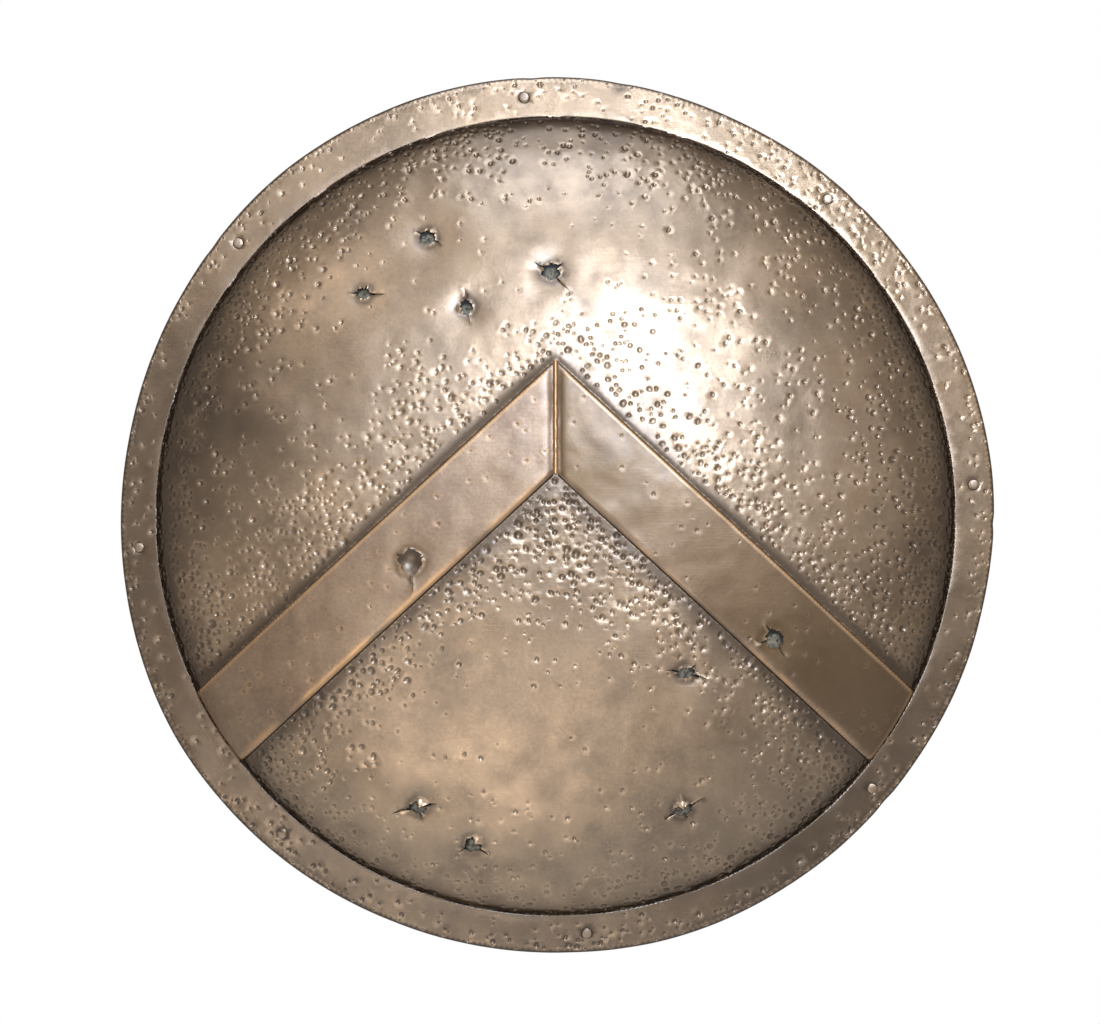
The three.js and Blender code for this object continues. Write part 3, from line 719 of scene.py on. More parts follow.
class AspisFace(bpy.types.Operator):
    """Build the beaten bronze sheet over the bowl, with its dents and punctures"""

    bl_idname = "aspis.face"
    bl_label = "Bronze face"

    def execute(self, context):
        settings = face_settings()
        rng = np.random.default_rng(settings.seed)
        profile = face_profile()
        foot = profile.unroll([(BOWL_RADIUS, 0)])[0][0]
        holes = [Puncture(profile, row) for row in PUNCTURES]
        loops = wound([ring(300, profile.s[-1] - 1e-6)] + hole_loops(holes))
        candidates = random_candidates(rng, foot - 5 * mm, 60000)
        chance = dent_chance(flat_places(profile, candidates)) * off_holes(candidates, holes, 9 * mm)
        away, low = np.hypot(*candidates.T), candidates[:, 1] < 30 * mm
        depth = 0.78 + 0.75 * smoothstep(250 * mm, 380 * mm, away) + 0.45 * low * bell(away, 110 * mm)
        dents = Dents(rng, settings.dents, candidates, chance, (1.6 * mm, 5.4 * mm),
                      settings.dent_depth * depth, 1.9 * mm)
        grid = plain_fill(loops, settings.grid, holes)
        below, above = arm_depth(flat_places(profile, grid))
        under_arm = (below > 8 * mm) & (above > 8 * mm) & (np.hypot(*grid.T) < foot - 12 * mm)
        thin_grid = grid[under_arm][::5]
        struck = Puncture(profile, ARM_PUNCTURES["left"][0]).at
        bowl = [ring(20, r * mm, struck) for r in (0.1, 3, 6, 9, 12, 15, 18)]
        creases = list(bowl)
        creases += [ring(340, foot + step * mm, turn=step * 0.4) for step in (-14, -9, -5, -2.2, 1)]
        creases.append(chevron_rows(profile))
        grid = grid[~under_arm]
        grid = grid[np.abs(np.hypot(*grid.T) - foot) > 3 * mm]
        fill = dented_fill(loops, np.vstack([grid, thin_grid]), dents, holes, creases)
        coarse = plain_fill(loops, 14 * mm, holes)
        coarse = np.vstack([coarse[np.hypot(*(coarse - struck).T) > 22 * mm], *bowl[1:]])
        points = np.vstack([*loops, fill])
        places = flat_places(profile, points)
        below, above = arm_depth(places)
        height, wear_and_painted_light = dents.shape(points)
        calm = 1 - smoothstep(foot - 30 * mm, foot - 6 * mm, np.hypot(*points.T))
        calm *= 1 - smoothstep(-14 * mm, -1 * mm, np.minimum(below, above))
        height += calm * unevenness(points, settings.waviness, 75 * mm, 3.7)
        height += calm * unevenness(points, 0.28 * settings.waviness, 24 * mm, 8.2)
        cove = np.exp(np.minimum(below, 0) / (3.5 * mm)) * (below < 5 * mm)
        height += 1.5 * mm * cove * (np.hypot(*places.T) < ARM_END_RADIUS)
        height = np.maximum(height, -2.3 * mm)
        for hole in holes:
            moved, worn = hole.shape(points)
            height, wear_and_painted_light = height + moved, wear_and_painted_light + worn
        # The dome is driven in under the hole in the left arm, and the hollow is painted dark as shade
        height += self.blow(points, struck)
        wear_and_painted_light -= 0.75 * (np.hypot(*(points - struck).T) < 18 * mm)
        # Broad clouds of tone: partly patina and rubbed metal, partly painted shade and painted light
        cloud_patina_and_light = patches(places, PATINA_AND_LIGHT_CLOUDS) * (1 + unevenness(places, 0.9, 38 * mm, 1.9))
        wear_and_painted_light += crease_patina_and_shade(places) + cloud_patina_and_light
        count = sum(map(len, loops))
        under = np.full(count + len(coarse), -SHEET)
        under[:count] += height[:count]
        under[count:] += np.sum([hole.shape(coarse)[0] for hole in holes], axis=0)
        under[count:] += self.blow(coarse, struck) - 1.8 * mm
        piece = sheet_piece(
            "bronze_face_sheet", profile, loops, fill, coarse, height, wear_and_painted_light, under, bronze_material())
        return finish_piece(piece, "shield", "bronze", "bronze_face")

    def blow(self, flat, at):
        """The bowl driven into the sheet under the left arm's hole."""
        return -4.6 * mm * np.maximum(0, 1 - (np.hypot(*(flat - at).T) / (16 * mm)) ** 2)


# The rim's outline strays from a true circle: waves round it, their height and where they peak
RIM_WAVES = ((2, 0.8, 3), (3, 1.7, -19), (4, 1.3, -21), (5, 0.5, 19), (9, 0.25, 40), (14, 0.2, 10))
# Knocks in the rim's edge: clockwise turn from the top, depth in millimetres, width in degrees
RIM_KNOCKS = (
    (-3, 0.9, 1.2), (8.5, 0.7, 1.5), (44, 0.8, 1.0), (91, 1.0, 0.8), (-52, 0.6, 1.2), (131, 0.7, 1.1))
RIM_RIVET_RADIUS = 431 * mm
RIM_RIVETS = [
    (RIM_RIVET_RADIUS * math.sin(turn), RIM_RIVET_RADIUS * math.cos(turn))
    for turn in (math.radians(-4.3 + 45 * i) for i in range(8))]


def out_of_round(points):
    """Points with the rim's wavering outline."""
    x, z = points[:, 0], points[:, 2]
    r, turn = np.hypot(x, z), np.degrees(np.arctan2(x, z))
    shift = np.zeros(len(points))
    for count, amount, peak in RIM_WAVES:
        shift += amount * mm * np.cos(np.radians(count * (turn - peak)))
    for at, amount, width in RIM_KNOCKS:
        shift -= amount * mm * bell((turn - at + 180) % 360 - 180, width)
    scale = 1 + shift * smoothstep(BOWL_RADIUS, SHIELD_RADIUS, r) / np.maximum(r, 1 * mm)
    return np.column_stack([x * scale, points[:, 1], z * scale])


def rim_profile():
    """The rim band: a rolled inner lip, the face, the rounded edge and the hem behind."""
    inner, edge, rounding = BOWL_RADIUS + SEAT_GAP, SHIELD_RADIUS, RIM_ROUNDING
    points = [(inner, RIM_INNER_HEIGHT - 1.1 * mm), (inner + 0.25 * mm, RIM_INNER_HEIGHT - 0.3 * mm),
              (inner + 1 * mm, RIM_INNER_HEIGHT)]
    for at, sign in ((RIM_EDGE_HEIGHT - rounding, 1), (rounding, -1)):
        for step in range(7):
            angle = math.radians(15 * step if sign < 0 else 90 - 15 * step)
            out, up = rounding * math.cos(angle), rounding * math.sin(angle)
            points.append((edge - rounding + out, at + sign * up))
    points.append((HEM_RADIUS, 0))
    return Profile(points, start=inner, soften=0.3 * mm)


class AspisRim(bpy.types.Operator):
    """Build the rim band, with its dents, knocks and hem"""

    bl_idname = "aspis.rim"
    bl_label = "Rim band"

    def execute(self, context):
        settings = face_settings()
        rng = np.random.default_rng(settings.seed + 1)
        profile = rim_profile()
        start, end = profile.s[0], profile.s[-1]
        corner = profile.unroll([(SHIELD_RADIUS - RIM_ROUNDING, 0)])[0][0]
        loops = wound([ring(520, end - 1e-6), ring(480, start + 1e-6)])
        candidates = random_candidates(rng, corner, 40000)
        r, turn = np.hypot(*candidates.T), np.degrees(np.arctan2(*candidates.T))
        by_edge = bell(r - corner + 8 * mm, 8 * mm)
        chance = 0.14 + 0.6 * by_edge + 0.3 * bell(turn - 42, 24)
        chance *= (r > start + 4 * mm) & (r < corner - 2.5 * mm)
        for rivet in RIM_RIVETS:
            chance *= np.hypot(*(candidates - rivet).T) > 9 * mm
        dents = Dents(rng, settings.rim_dents, candidates, chance * 0.25, (1.2 * mm, 3.9 * mm),
                      0.28, 0.95 * mm, 1.1)
        turn = np.arange(113) * 2 * math.pi / 113 + rng.uniform(-0.008, 0.008, 113)
        nicks = (corner - 0.6 * mm) * np.column_stack([np.cos(turn), np.sin(turn)])
        nicks = Dents(rng, 200, nicks, np.ones(len(nicks)), (1.2 * mm, 1.9 * mm), 0.5, 0.9 * mm)
        grid = hex_grid(7 * mm, corner)
        r = np.hypot(*grid.T)
        grid = grid[(r > start + 7 * mm) & (r < corner - 5 * mm)]
        steps = [start + step * mm for step in (0.5, 1.4, 3.5)]
        steps += [corner + step * mm for step in (
            -4.2, -3.2, -2.3, -1.2, 0, 1.1, 2.2, 3.3, 4.6, 7, 9.6, 10.7, 11.9, 13, 14.2, 18, 25)]
        rows = [ring(500, s, turn=0.003 * i) for i, s in enumerate(steps) if s < end - 1 * mm]
        rows += [ring(20, r * mm, at, 0.1 * r) for at in RIM_RIVETS for r in (4.5, 5.3, 6.1)]
        rows.append(nicks.mesh_points())
        fill = dented_fill(loops, grid, dents, (), rows)
        points = np.vstack([*loops, fill])
        height, wear_and_painted_light = np.add(dents.shape(points), nicks.shape(points))
        r, turn = np.hypot(*points.T), np.arctan2(*points.T)
        around = np.degrees(turn)
        face = 1 - smoothstep(corner - 2 * mm, corner, r)
        off_lip = smoothstep(start, start + 12 * mm, r) * (0.4 + 0.6 * face)
        height += unevenness(points, 0.55 * mm, 60 * mm, 9.1) * off_lip
        height += face * unevenness(points, 0.1 * mm, 16 * mm, 4.4)
        # A line scored beside the edge, that comes and goes
        scored = bell(r - corner + 3.2 * mm, 0.8 * mm)
        scored *= smoothstep(0.0, 0.25, unevenness(points, 1.0, 80 * mm, 6.6))
        height -= 0.35 * mm * scored
        wear_and_painted_light += 0.4 * bell(r - corner + 0.5 * mm, 1.6 * mm)
        # Painted shade: the rounded outer edge darkens as it turns back
        wear_and_painted_light -= 1.2 * smoothstep(corner + 0.3 * mm, corner + 1.6 * mm, r)
        wear_and_painted_light += 0.85 * smoothstep(corner + 9.6 * mm, corner + 12.4 * mm, r)
        # The scored line holds patina; the rim is painted darker toward its lower left as shade
        wear_and_painted_light -= 0.5 * scored + 0.5 * smoothstep(0.05, 0.9, (1 - np.cos(turn - 0.6)) / 2)
        wear_and_painted_light -= 0.8 * bell(r - start, 2.5 * mm)
        # Painted light at the top of the rim's face and painted shade at its lower right
        wear_and_painted_light += face * (0.24 * bell(around - 12, 45) - 0.35 * bell(around - 132, 28))
        # The scrape beside the notch at the top
        scrape = np.exp(-np.sum(((points - pixel_place(622, 88)) / (9 * mm, 3.5 * mm)) ** 2, axis=1))
        height -= 0.3 * mm * scrape
        wear_and_painted_light -= 1.1 * scrape
        for rivet in RIM_RIVETS:
            outline = bell(np.hypot(*(points - rivet).T) - 5.3 * mm, 0.6 * mm)
            height -= 0.6 * mm * outline
            wear_and_painted_light -= 1.1 * outline
        under_rows = [start + 2 * mm, start + 20 * mm]
        under_rows += [corner + step * mm for step in (-1, 2, 4.6, 9.6, 12, 15)]
        coarse = np.vstack([ring(500, s, turn=0.003 * i) for i, s in enumerate(under_rows)])
        under = np.full(sum(map(len, loops)) + len(coarse), -SHEET)
        under[-len(coarse):] -= 0.35 * mm
        piece = sheet_piece("rim_band_sheet", profile, loops, fill, coarse, height, wear_and_painted_light, under,
                            bronze_material(), out_of_round)
        return finish_piece(piece, "shield", "bronze", "rim_band")


def arm_loop(side, margin, spacing=4 * mm):
    """An arm's outline in x and z, drawn in by a margin, counter-clockwise for the right arm."""
    fall, lean = math.tan(ARM_SLOPE), math.cos(ARM_SLOPE)
    near = SEAM_WIDTH / 2 + SEAT_GAP + margin
    reach = ARM_END_RADIUS - margin
    lines = [APEX_HEIGHT - margin / lean, APEX_HEIGHT - (ARM_WIDTH - margin) / lean]
    ends = []
    for start in lines:
        a, b, c = 1 + fall ** 2, -2 * start * fall, start ** 2 - reach ** 2
        x = (-b + math.sqrt(b * b - 4 * a * c)) / (2 * a)
        ends.append((x, start - x * fall))
    corners = [(near, lines[0] - near * fall), *ends, (near, lines[1] - near * fall)]
    points = []
    for i, (p, q) in enumerate(zip(corners, corners[1:] + corners[:1])):
        p, q = np.array(p), np.array(q)
        count = max(2, round(np.hypot(*(q - p)) / spacing))
        for t in np.arange(count) / count:
            point = p + (q - p) * t
            if i == 1:
                point = point * reach / np.hypot(*point)
            points.append(point)
    return np.array(points) * (side, 1)


# Rows of mesh points along the arms' edges, by how far in from the outline they lie
BEVEL_MARGINS = (0.4, 0.9, 1.6, 2.5, 4, 6, 8.5)


def arm_shape(places):
    """The height over the face and the wear of the arms' edges: tight along the top, broad and rubbed
    to copper along the bottom, with a painted highlight in that copper, and sunk to a soft groove
    beside the seam."""
    below, above = arm_depth(places)
    at_seam = np.abs(places[:, 0]) - SEAM_WIDTH / 2 - SEAT_GAP
    at_end = ARM_END_RADIUS - np.hypot(*places.T)
    height = np.full(len(places), ARM_RISE)
    for depth, width in ((below, 3.6 * mm), (above, 6.5 * mm), (at_end, 3.5 * mm)):
        share = 1 - np.clip(depth / width, 0, 1)
        height -= ARM_RISE * (1 - np.sqrt(np.maximum(1 - share ** 2.6, 0)))
    groove = bell(np.maximum(at_seam, 0), 4.5 * mm)
    height -= 1.2 * mm * groove
    rubbed = unevenness(places, 0.9, 45 * mm, 6.1) + 0.55
    wear_and_painted_light = 0.95 * bell(below - 2.7 * mm, 1.5 * mm) - bell(below, 0.8 * mm)
    # A broad copper band along the lower edges: rubbed metal and a painted highlight
    wear_and_painted_light += rubbed * smoothstep(0.9 * mm, 2.2 * mm, above) * (1 - smoothstep(4 * mm, 10.5 * mm, above))
    wear_and_painted_light += 0.7 * bell(at_end - 2.5 * mm, 1.2 * mm)
    wear_and_painted_light -= bell(above, 0.9 * mm) + bell(at_end, 1.2 * mm)
    wear_and_painted_light = np.where(at_seam < 7 * mm, np.minimum(wear_and_painted_light, 0.2), wear_and_painted_light) - 0.3 * groove
    return np.maximum(height, 0.1 * mm), wear_and_painted_light


class AspisChevron(bpy.types.Operator):
    """Build the chevron's two raised arms and the seam where they meet"""

    bl_idname = "aspis.chevron"
    bl_label = "Chevron"

    def execute(self, context):
        profile = face_profile()
        for number, (name, side) in enumerate((("left", -1), ("right", 1))):
            self.make_arm(profile, number, name, side)
        return self.make_seam(profile)

    def make_arm(self, profile, number, name, side):
        settings = face_settings()
        rng = np.random.default_rng(settings.seed + 2 + number)
        holes = [Puncture(profile, row) for row in ARM_PUNCTURES[name]]
        outline = profile.unroll(arm_loop(side, 0))
        loops = wound([outline] + hole_loops(holes))
        candidates = random_candidates(rng, profile.s[-1], 30000)
        chance = inside(candidates, profile.unroll(arm_loop(side, 8 * mm))) * 0.2
        chance *= off_holes(candidates, holes, 9 * mm)
        dents = Dents(rng, settings.arm_dents, candidates, chance, (1.1 * mm, 3.0 * mm), 0.13,
                      0.8 * mm, 2.6)
        rows = [profile.unroll(arm_loop(side, margin * mm)) for margin in BEVEL_MARGINS]
        grid = plain_fill([outline], 4.5 * mm, holes)
        grid = grid[inside(grid, rows[-1])]
        grid = grid[clear_of(grid, rows[-1], 3 * mm)]
        fill = dented_fill(loops, grid, dents, holes, rows)
        points = np.vstack([*loops, fill])
        height, wear_and_painted_light = arm_shape(flat_places(profile, points))
        foot = np.flatnonzero(np.abs(points[:len(outline), 0]) > 4 * mm)
        height[foot], wear_and_painted_light[foot] = 0.1 * mm, -1
        on_top = inside(points, rows[2])
        for moved, worn in [part.shape(points) for part in (dents, *holes)]:
            height, wear_and_painted_light = height + moved * on_top, wear_and_painted_light + worn * on_top
        height += on_top * unevenness(points, 0.45 * mm, 55 * mm, 5.3 + side)
        height += on_top * unevenness(points, 0.14 * mm, 17 * mm, 2.3 + side)
        if side > 0:
            # The right arm is painted darker as shade, the more so toward its end and beside the seam
            x = points[:, 0]
            painted_arm_shade = 0.55 + 0.1 * smoothstep(60 * mm, 300 * mm, x) + 0.3 * bell(x, 85 * mm)
            wear_and_painted_light -= painted_arm_shade * inside(points, rows[4])
        coarse = plain_fill([outline], 16 * mm, holes)
        count = sum(map(len, loops))
        under = np.full(count + len(coarse), -0.3 * mm)
        under[len(outline):count] = height[len(outline):count] - SHEET
        piece = sheet_piece(f"chevron_{name}", profile, loops, fill, coarse, height, wear_and_painted_light, under,
                            chevron_material())
        finish_piece(piece, "shield", "chevron_bronze", f"chevron_{name}_arm")

    def make_seam(self, profile):
        """A narrow rounded ridge, a little uneven along its length."""
        low, high = APEX_HEIGHT - ARM_WIDTH / math.cos(ARM_SLOPE), APEX_HEIGHT
        steps = np.linspace(low, high - SEAM_WIDTH / 2 * math.tan(ARM_SLOPE), 46)
        # Half of the ridge's section, from its foot to its top: how far across, height and wear
        section = np.array([(1.1, -0.3, -0.4), (1.1, 3.2, -0.3), (1.5, 3.42, 0), (1.0, 3.7, 0.2),
                            (0.65, 4.6, 0.9), (0.3, 5.1, 1)])
        across, rise, worn = np.vstack([section * (-1, 1, 1), section[::-1]]).T
        across, rise = across * SEAM_WIDTH / 2, rise * mm
        points = []
        for along in steps:
            sway = 0.35 * mm * noise.noise((0, along / (9 * mm), 2.0))
            swell = 1 + 0.12 * noise.noise((3, along / (6 * mm), 0))
            flat = profile.unroll(np.column_stack([across * swell + sway, np.full(len(across), along)]))
            points.append(profile.place(flat, np.where(rise > 0, rise * swell, rise)))
        mesh = new_mesh("chevron_mitre", np.vstack(points), bar_faces(len(steps), len(across)))
        piece = linked("chevron_mitre", smoothed(mesh, chevron_material(), 60))
        set_wear_and_painted_light(piece, np.tile(worn, len(steps)))
        return finish_piece(piece, "shield", "chevron_bronze", "chevron_seam")


# Materials


def add_node(tree, kind, inputs=None, **settings):
    """Adds a node with its settings. An input given as a socket is linked, a node stands for its first
    output, and any other value is set."""
    made = tree.nodes.new(kind)
    for name, value in settings.items():
        setattr(made, name, value)
    for name, value in (inputs or {}).items():
        if isinstance(value, bpy.types.Node):
            value = value.outputs[0]
        if isinstance(value, bpy.types.NodeSocket):
            tree.links.new(value, made.inputs[name])
        else:
            made.inputs[name].default_value = value
    return made


def toned(tree, tone, colour, value, low, high, most=1.0, least=0.0):
    """A tone turned toward a colour as a value goes from low to high."""
    share = add_node(tree, "ShaderNodeMapRange", {
        "Value": value, "From Min": low, "From Max": high, "To Min": least, "To Max": most})
    return add_node(tree, "ShaderNodeMix", {0: share, 6: tone, 7: colour}, data_type="RGBA").outputs[2]


def finished(name, paint, *values):
    """A material made once. paint adds its nodes, and gives its colour, its roughness as a number or a
    socket, and its bump's height, strength and distance."""
    if name in bpy.data.materials:
        return bpy.data.materials[name]
    material = bpy.data.materials.new(name)
    material.use_nodes = True
    tree = material.node_tree
    shader = tree.nodes["Principled BSDF"]
    place = add_node(tree, "ShaderNodeTexCoord").outputs["Object"]
    tone, rough, bump = paint(tree, shader, place, *values)
    tree.links.new(tone, shader.inputs["Base Color"])
    if isinstance(rough, float):
        shader.inputs["Roughness"].default_value = rough
    else:
        tree.links.new(rough.outputs[0], shader.inputs["Roughness"])
    if bump:
        height, strength, distance = bump
        raised = add_node(tree, "ShaderNodeBump", {
            "Height": height, "Strength": strength, "Distance": distance})
        tree.links.new(raised.outputs[0], shader.inputs["Normal"])
    return material


def aged_bronze(tree, shader, place, base, rubbed, patina_and_shade, edge, roughness):
    """Tin bronze, beaten and long handled: a satin metal with cloudy dark oxide in its hollows, bright
    rubbed high spots, fine criss-cross scratches and a soft, uneven sheen, and painted shade and
    painted highlights where the per-point value calls for them."""
    cloud, mottle, speck = (
        add_node(tree, "ShaderNodeTexNoise", {
            "Vector": place, "Scale": 1 / size, "Detail": detail, "Roughness": rough}).outputs["Fac"]
        for size, detail, rough in ((0.09, 5, 0.62), (0.03, 7, 0.68), (0.0035, 3, 0.6)))
    wear_and_painted_light = add_node(tree, "ShaderNodeAttribute", attribute_name="wear_and_painted_light").outputs["Fac"]
    grained = add_node(tree, "ShaderNodeMath", {0: speck, 1: 0.5, 2: cloud}, operation="MULTIPLY_ADD")
    spread = add_node(tree, "ShaderNodeMath", {0: speck, 1: 0.35}, operation="MULTIPLY")
    low = add_node(tree, "ShaderNodeMath", {0: wear_and_painted_light, 1: spread}, operation="SUBTRACT")
    tone = toned(tree, base, rubbed, grained, 0.6, 0.95, 0.8)
    tone = toned(tree, tone, patina_and_shade, mottle, 0.5, 0.8, 0.4)
    # Above 0 the per-point value turns the tone toward the edge colour, for rubbed metal and painted
    # highlights; below 0 toward the patina colour, for oxide and painted shade
    tone = toned(tree, tone, edge, wear_and_painted_light, 0.05, 1, 0.8)
    tone = toned(tree, tone, patina_and_shade, low, -0.15, -0.95, 0.8)
    rough = add_node(tree, "ShaderNodeMapRange", {
        "Value": mottle, "From Min": 0.3, "From Max": 0.75,
        "To Min": roughness - 0.06, "To Max": roughness + 0.12})
    shader.inputs["Metallic"].default_value = 1.0
    # Oxide keeps the edges from flashing white at a grazing angle
    shader.inputs["Specular Tint"].default_value = (0.3, 0.26, 0.22, 1)
    # A thin coat of wax
    shader.inputs["Coat Weight"].default_value = 0.3
    shader.inputs["Coat Roughness"].default_value = 0.24
    # Scratches: thin streaks of noise in two directions, about a millimetre apart
    scratches = []
    for turn in (0.5, -0.9):
        turned = add_node(tree, "ShaderNodeMapping", {
            "Vector": place, "Rotation": (0, turn, 0), "Scale": (1 / 0.05, 20, 1 / 0.0012)})
        scratches.append(add_node(tree, "ShaderNodeTexNoise", {
            "Vector": turned, "Scale": 1.0, "Detail": 3, "Roughness": 0.65}).outputs["Fac"])
    both = add_node(tree, "ShaderNodeMath", dict(enumerate(scratches)), operation="MAXIMUM")
    grain = add_node(tree, "ShaderNodeMath", {0: speck, 1: both}, operation="ADD")
    return tone, rough, (grain, 0.38, 0.25 * mm)


def bronze_material():
    c = colours()
    return finished(
        "beaten aged bronze", aged_bronze, c.bronze[:], c.rubbed[:], c.patina_and_shade[:], linear("#987e63"), 0.31)


def chevron_material():
    c = colours()
    return finished(
        "smooth red bronze", aged_bronze, c.chevron[:], c.rubbed[:], linear("#44321c"), c.edge[:], 0.37)


def fittings_material():
    c = colours()
    return finished(
        "cast and filed bronze", aged_bronze, c.fittings[:], c.rubbed[:], c.patina_and_shade[:], c.fittings[:], 0.34)


# Items repeated by node trees: rivets, nails, fittings, rings and stitches


ITEM_INPUTS = (
    ("Geometry", "Geometry"), ("Item", "Object"), ("Pitch", "Float"), ("Size", "Float"),
    ("Size Spread", "Float"), ("Turn", "Float"), ("Seed", "Int"), ("Finish", "Material"))


def item_tree(name, along_paths):
    """A node tree that sets an item on each point, or at a pitch along each path, turned to face out."""
    if name in bpy.data.node_groups:
        return bpy.data.node_groups[name]
    tree = bpy.data.node_groups.new(name, "GeometryNodeTree")
    for label, kind in ITEM_INPUTS:
        tree.interface.new_socket(name=label, in_out="INPUT", socket_type=f"NodeSocket{kind}")
    tree.interface.new_socket(name="Geometry", in_out="OUTPUT", socket_type="NodeSocketGeometry")
    given = add_node(tree, "NodeGroupInput").outputs
    out = add_node(tree, "GeometryNodeInputNamedAttribute", {"Name": "out"}, data_type="FLOAT_VECTOR")
    points = given["Geometry"]
    if along_paths:
        line = add_node(tree, "GeometryNodeMeshToCurve", {0: points})
        points = add_node(
            tree, "GeometryNodeResampleCurve", {"Curve": line, "Length": given["Pitch"]}, mode="LENGTH")
        level = add_node(tree, "GeometryNodeInputTangent")
    else:
        level = add_node(
            tree, "GeometryNodeInputNamedAttribute", {"Name": "level"}, data_type="FLOAT_VECTOR")
    facing = add_node(
        tree, "FunctionNodeAxesToRotation", {0: out, 1: level}, primary_axis="Z", secondary_axis="X")
    back_turn = add_node(tree, "ShaderNodeMath", {0: given["Turn"], 1: -1.0}, operation="MULTIPLY")
    least = add_node(
        tree, "ShaderNodeMath", {0: given["Size"], 1: given["Size Spread"]}, operation="SUBTRACT")
    most = add_node(tree, "ShaderNodeMath", {0: given["Size"], 1: given["Size Spread"]}, operation="ADD")
    turn, size = (
        add_node(tree, "FunctionNodeRandomValue", {2: low, 3: high, "Seed": given["Seed"]},
                 data_type="FLOAT").outputs[1]
        for low, high in ((back_turn, given["Turn"]), (least, most)))
    turn = add_node(tree, "FunctionNodeAxisAngleToRotation", {0: (0, 0, 1), 1: turn})
    facing = add_node(tree, "FunctionNodeRotateRotation", {0: facing, 1: turn}, rotation_space="LOCAL")
    item = add_node(tree, "GeometryNodeObjectInfo", {"Object": given["Item"]})
    copies = add_node(tree, "GeometryNodeInstanceOnPoints", {
        "Points": points, "Instance": item.outputs["Geometry"], "Rotation": facing, "Scale": size})
    solid = add_node(tree, "GeometryNodeRealizeInstances", {0: copies})
    made = add_node(tree, "GeometryNodeSetMaterial", {"Geometry": solid, "Material": given["Finish"]})
    add_node(tree, "NodeGroupOutput", {"Geometry": made})
    return tree


def placed(name, item, points, out, level, material, paths=(), pitch=1.0, spread=0.0, turn=0.0, seed=0):
    """A plain mesh piece of an item set on points, or at a pitch along paths through the points."""
    mesh = new_mesh(name, points, (), paths)
    for label, vectors in (("out", out), ("level", level)):
        values = np.asarray(vectors, np.float32).ravel()
        mesh.attributes.new(label, "FLOAT_VECTOR", "POINT").data.foreach_set("vector", values)
    carrier = linked(name + "_places", mesh)
    tree = item_tree("items along paths" if len(paths) else "items on points", bool(len(paths)))
    modifier = carrier.modifiers.new("items", "NODES")
    modifier.node_group = tree
    values = {"Item": item, "Pitch": pitch, "Size": 1.0, "Size Spread": spread, "Turn": turn,
              "Seed": seed, "Finish": material}
    for socket in tree.interface.items_tree:
        if socket.in_out == "INPUT" and socket.name in values:
            modifier[socket.identifier] = values[socket.name]
    made = bpy.data.meshes.new_from_object(carrier.evaluated_get(bpy.context.evaluated_depsgraph_get()))
    carrier.modifiers.remove(modifier)
    for spare in (carrier, item):
        bpy.data.objects.remove(spare)
    if not made.polygons:
        raise RuntimeError(f"{name} came out empty")
    made.name = name
    return linked(name, made)


def bar_faces(rows, sides, closed=False):
    """Faces round a bar of rows of points, with closed ends or joined to itself."""
    faces = []
    for i in range(rows if closed else rows - 1):
        a, b = i * sides, (i + 1) % rows * sides
        for j in range(sides):
            k = (j + 1) % sides
            faces.append((a + j, a + k, b + k, b + j))
    if not closed:
        faces += [tuple(range(sides))[::-1], tuple(range((rows - 1) * sides, rows * sides))]
    return faces


def tube(path, radii, sides, closed=False):
    """Points and faces of a round bar along a path, with closed ends or joined to itself."""
    path = np.asarray(path, float)
    count = len(path)
    radii = np.broadcast_to(radii, count)
    ahead = np.roll(path, -1, axis=0) if closed else np.vstack([path[1:], path[-1:]])
    behind = np.roll(path, 1, axis=0) if closed else np.vstack([path[:1], path[:-1]])
    tangents = ahead - behind
    tangents /= np.linalg.norm(tangents, axis=1)[:, None]
    side = np.cross(tangents[0], (0.3, 0.2, 0.93))
    points = []
    for i in range(count):
        side = side - tangents[i] * (side @ tangents[i])
        side /= np.linalg.norm(side)
        other = np.cross(tangents[i], side)
        for j in range(sides):
            angle = 2 * math.pi * j / sides
            points.append(path[i] + radii[i] * (math.cos(angle) * side + math.sin(angle) * other))
    return points, bar_faces(count, sides, closed)


def turned_item(profile, sides):
    """Points and faces of a profile of radius and height turned about Z, with its ends on the axis."""
    points, faces, rows = [], [], []
    for r, h in profile:
        turns = np.arange(sides if r else 1) * 2 * math.pi / sides
        rows.append(range(len(points), len(points) + len(turns)))
        points += [(r * math.cos(a), r * math.sin(a), h) for a in turns]
    for low, high in zip(rows, rows[1:]):
        for j in range(sides):
            k = (j + 1) % sides
            corners = [low[j % len(low)], low[k % len(low)], high[k % len(high)], high[j % len(high)]]
            faces.append(tuple(dict.fromkeys(corners)))
    return points, faces


def new_item(name, shape, wear_and_painted_light=None):
    """An object of an item's shape, for a node tree to repeat. wear is worked out from each point."""
    points, faces = shape
    item = bpy.data.objects.new(name, smoothed(new_mesh(name, points, faces), sharp=50))
    if wear_and_painted_light:
        set_wear_and_painted_light(item, np.array([wear_and_painted_light(*p) for p in points]))
    return item


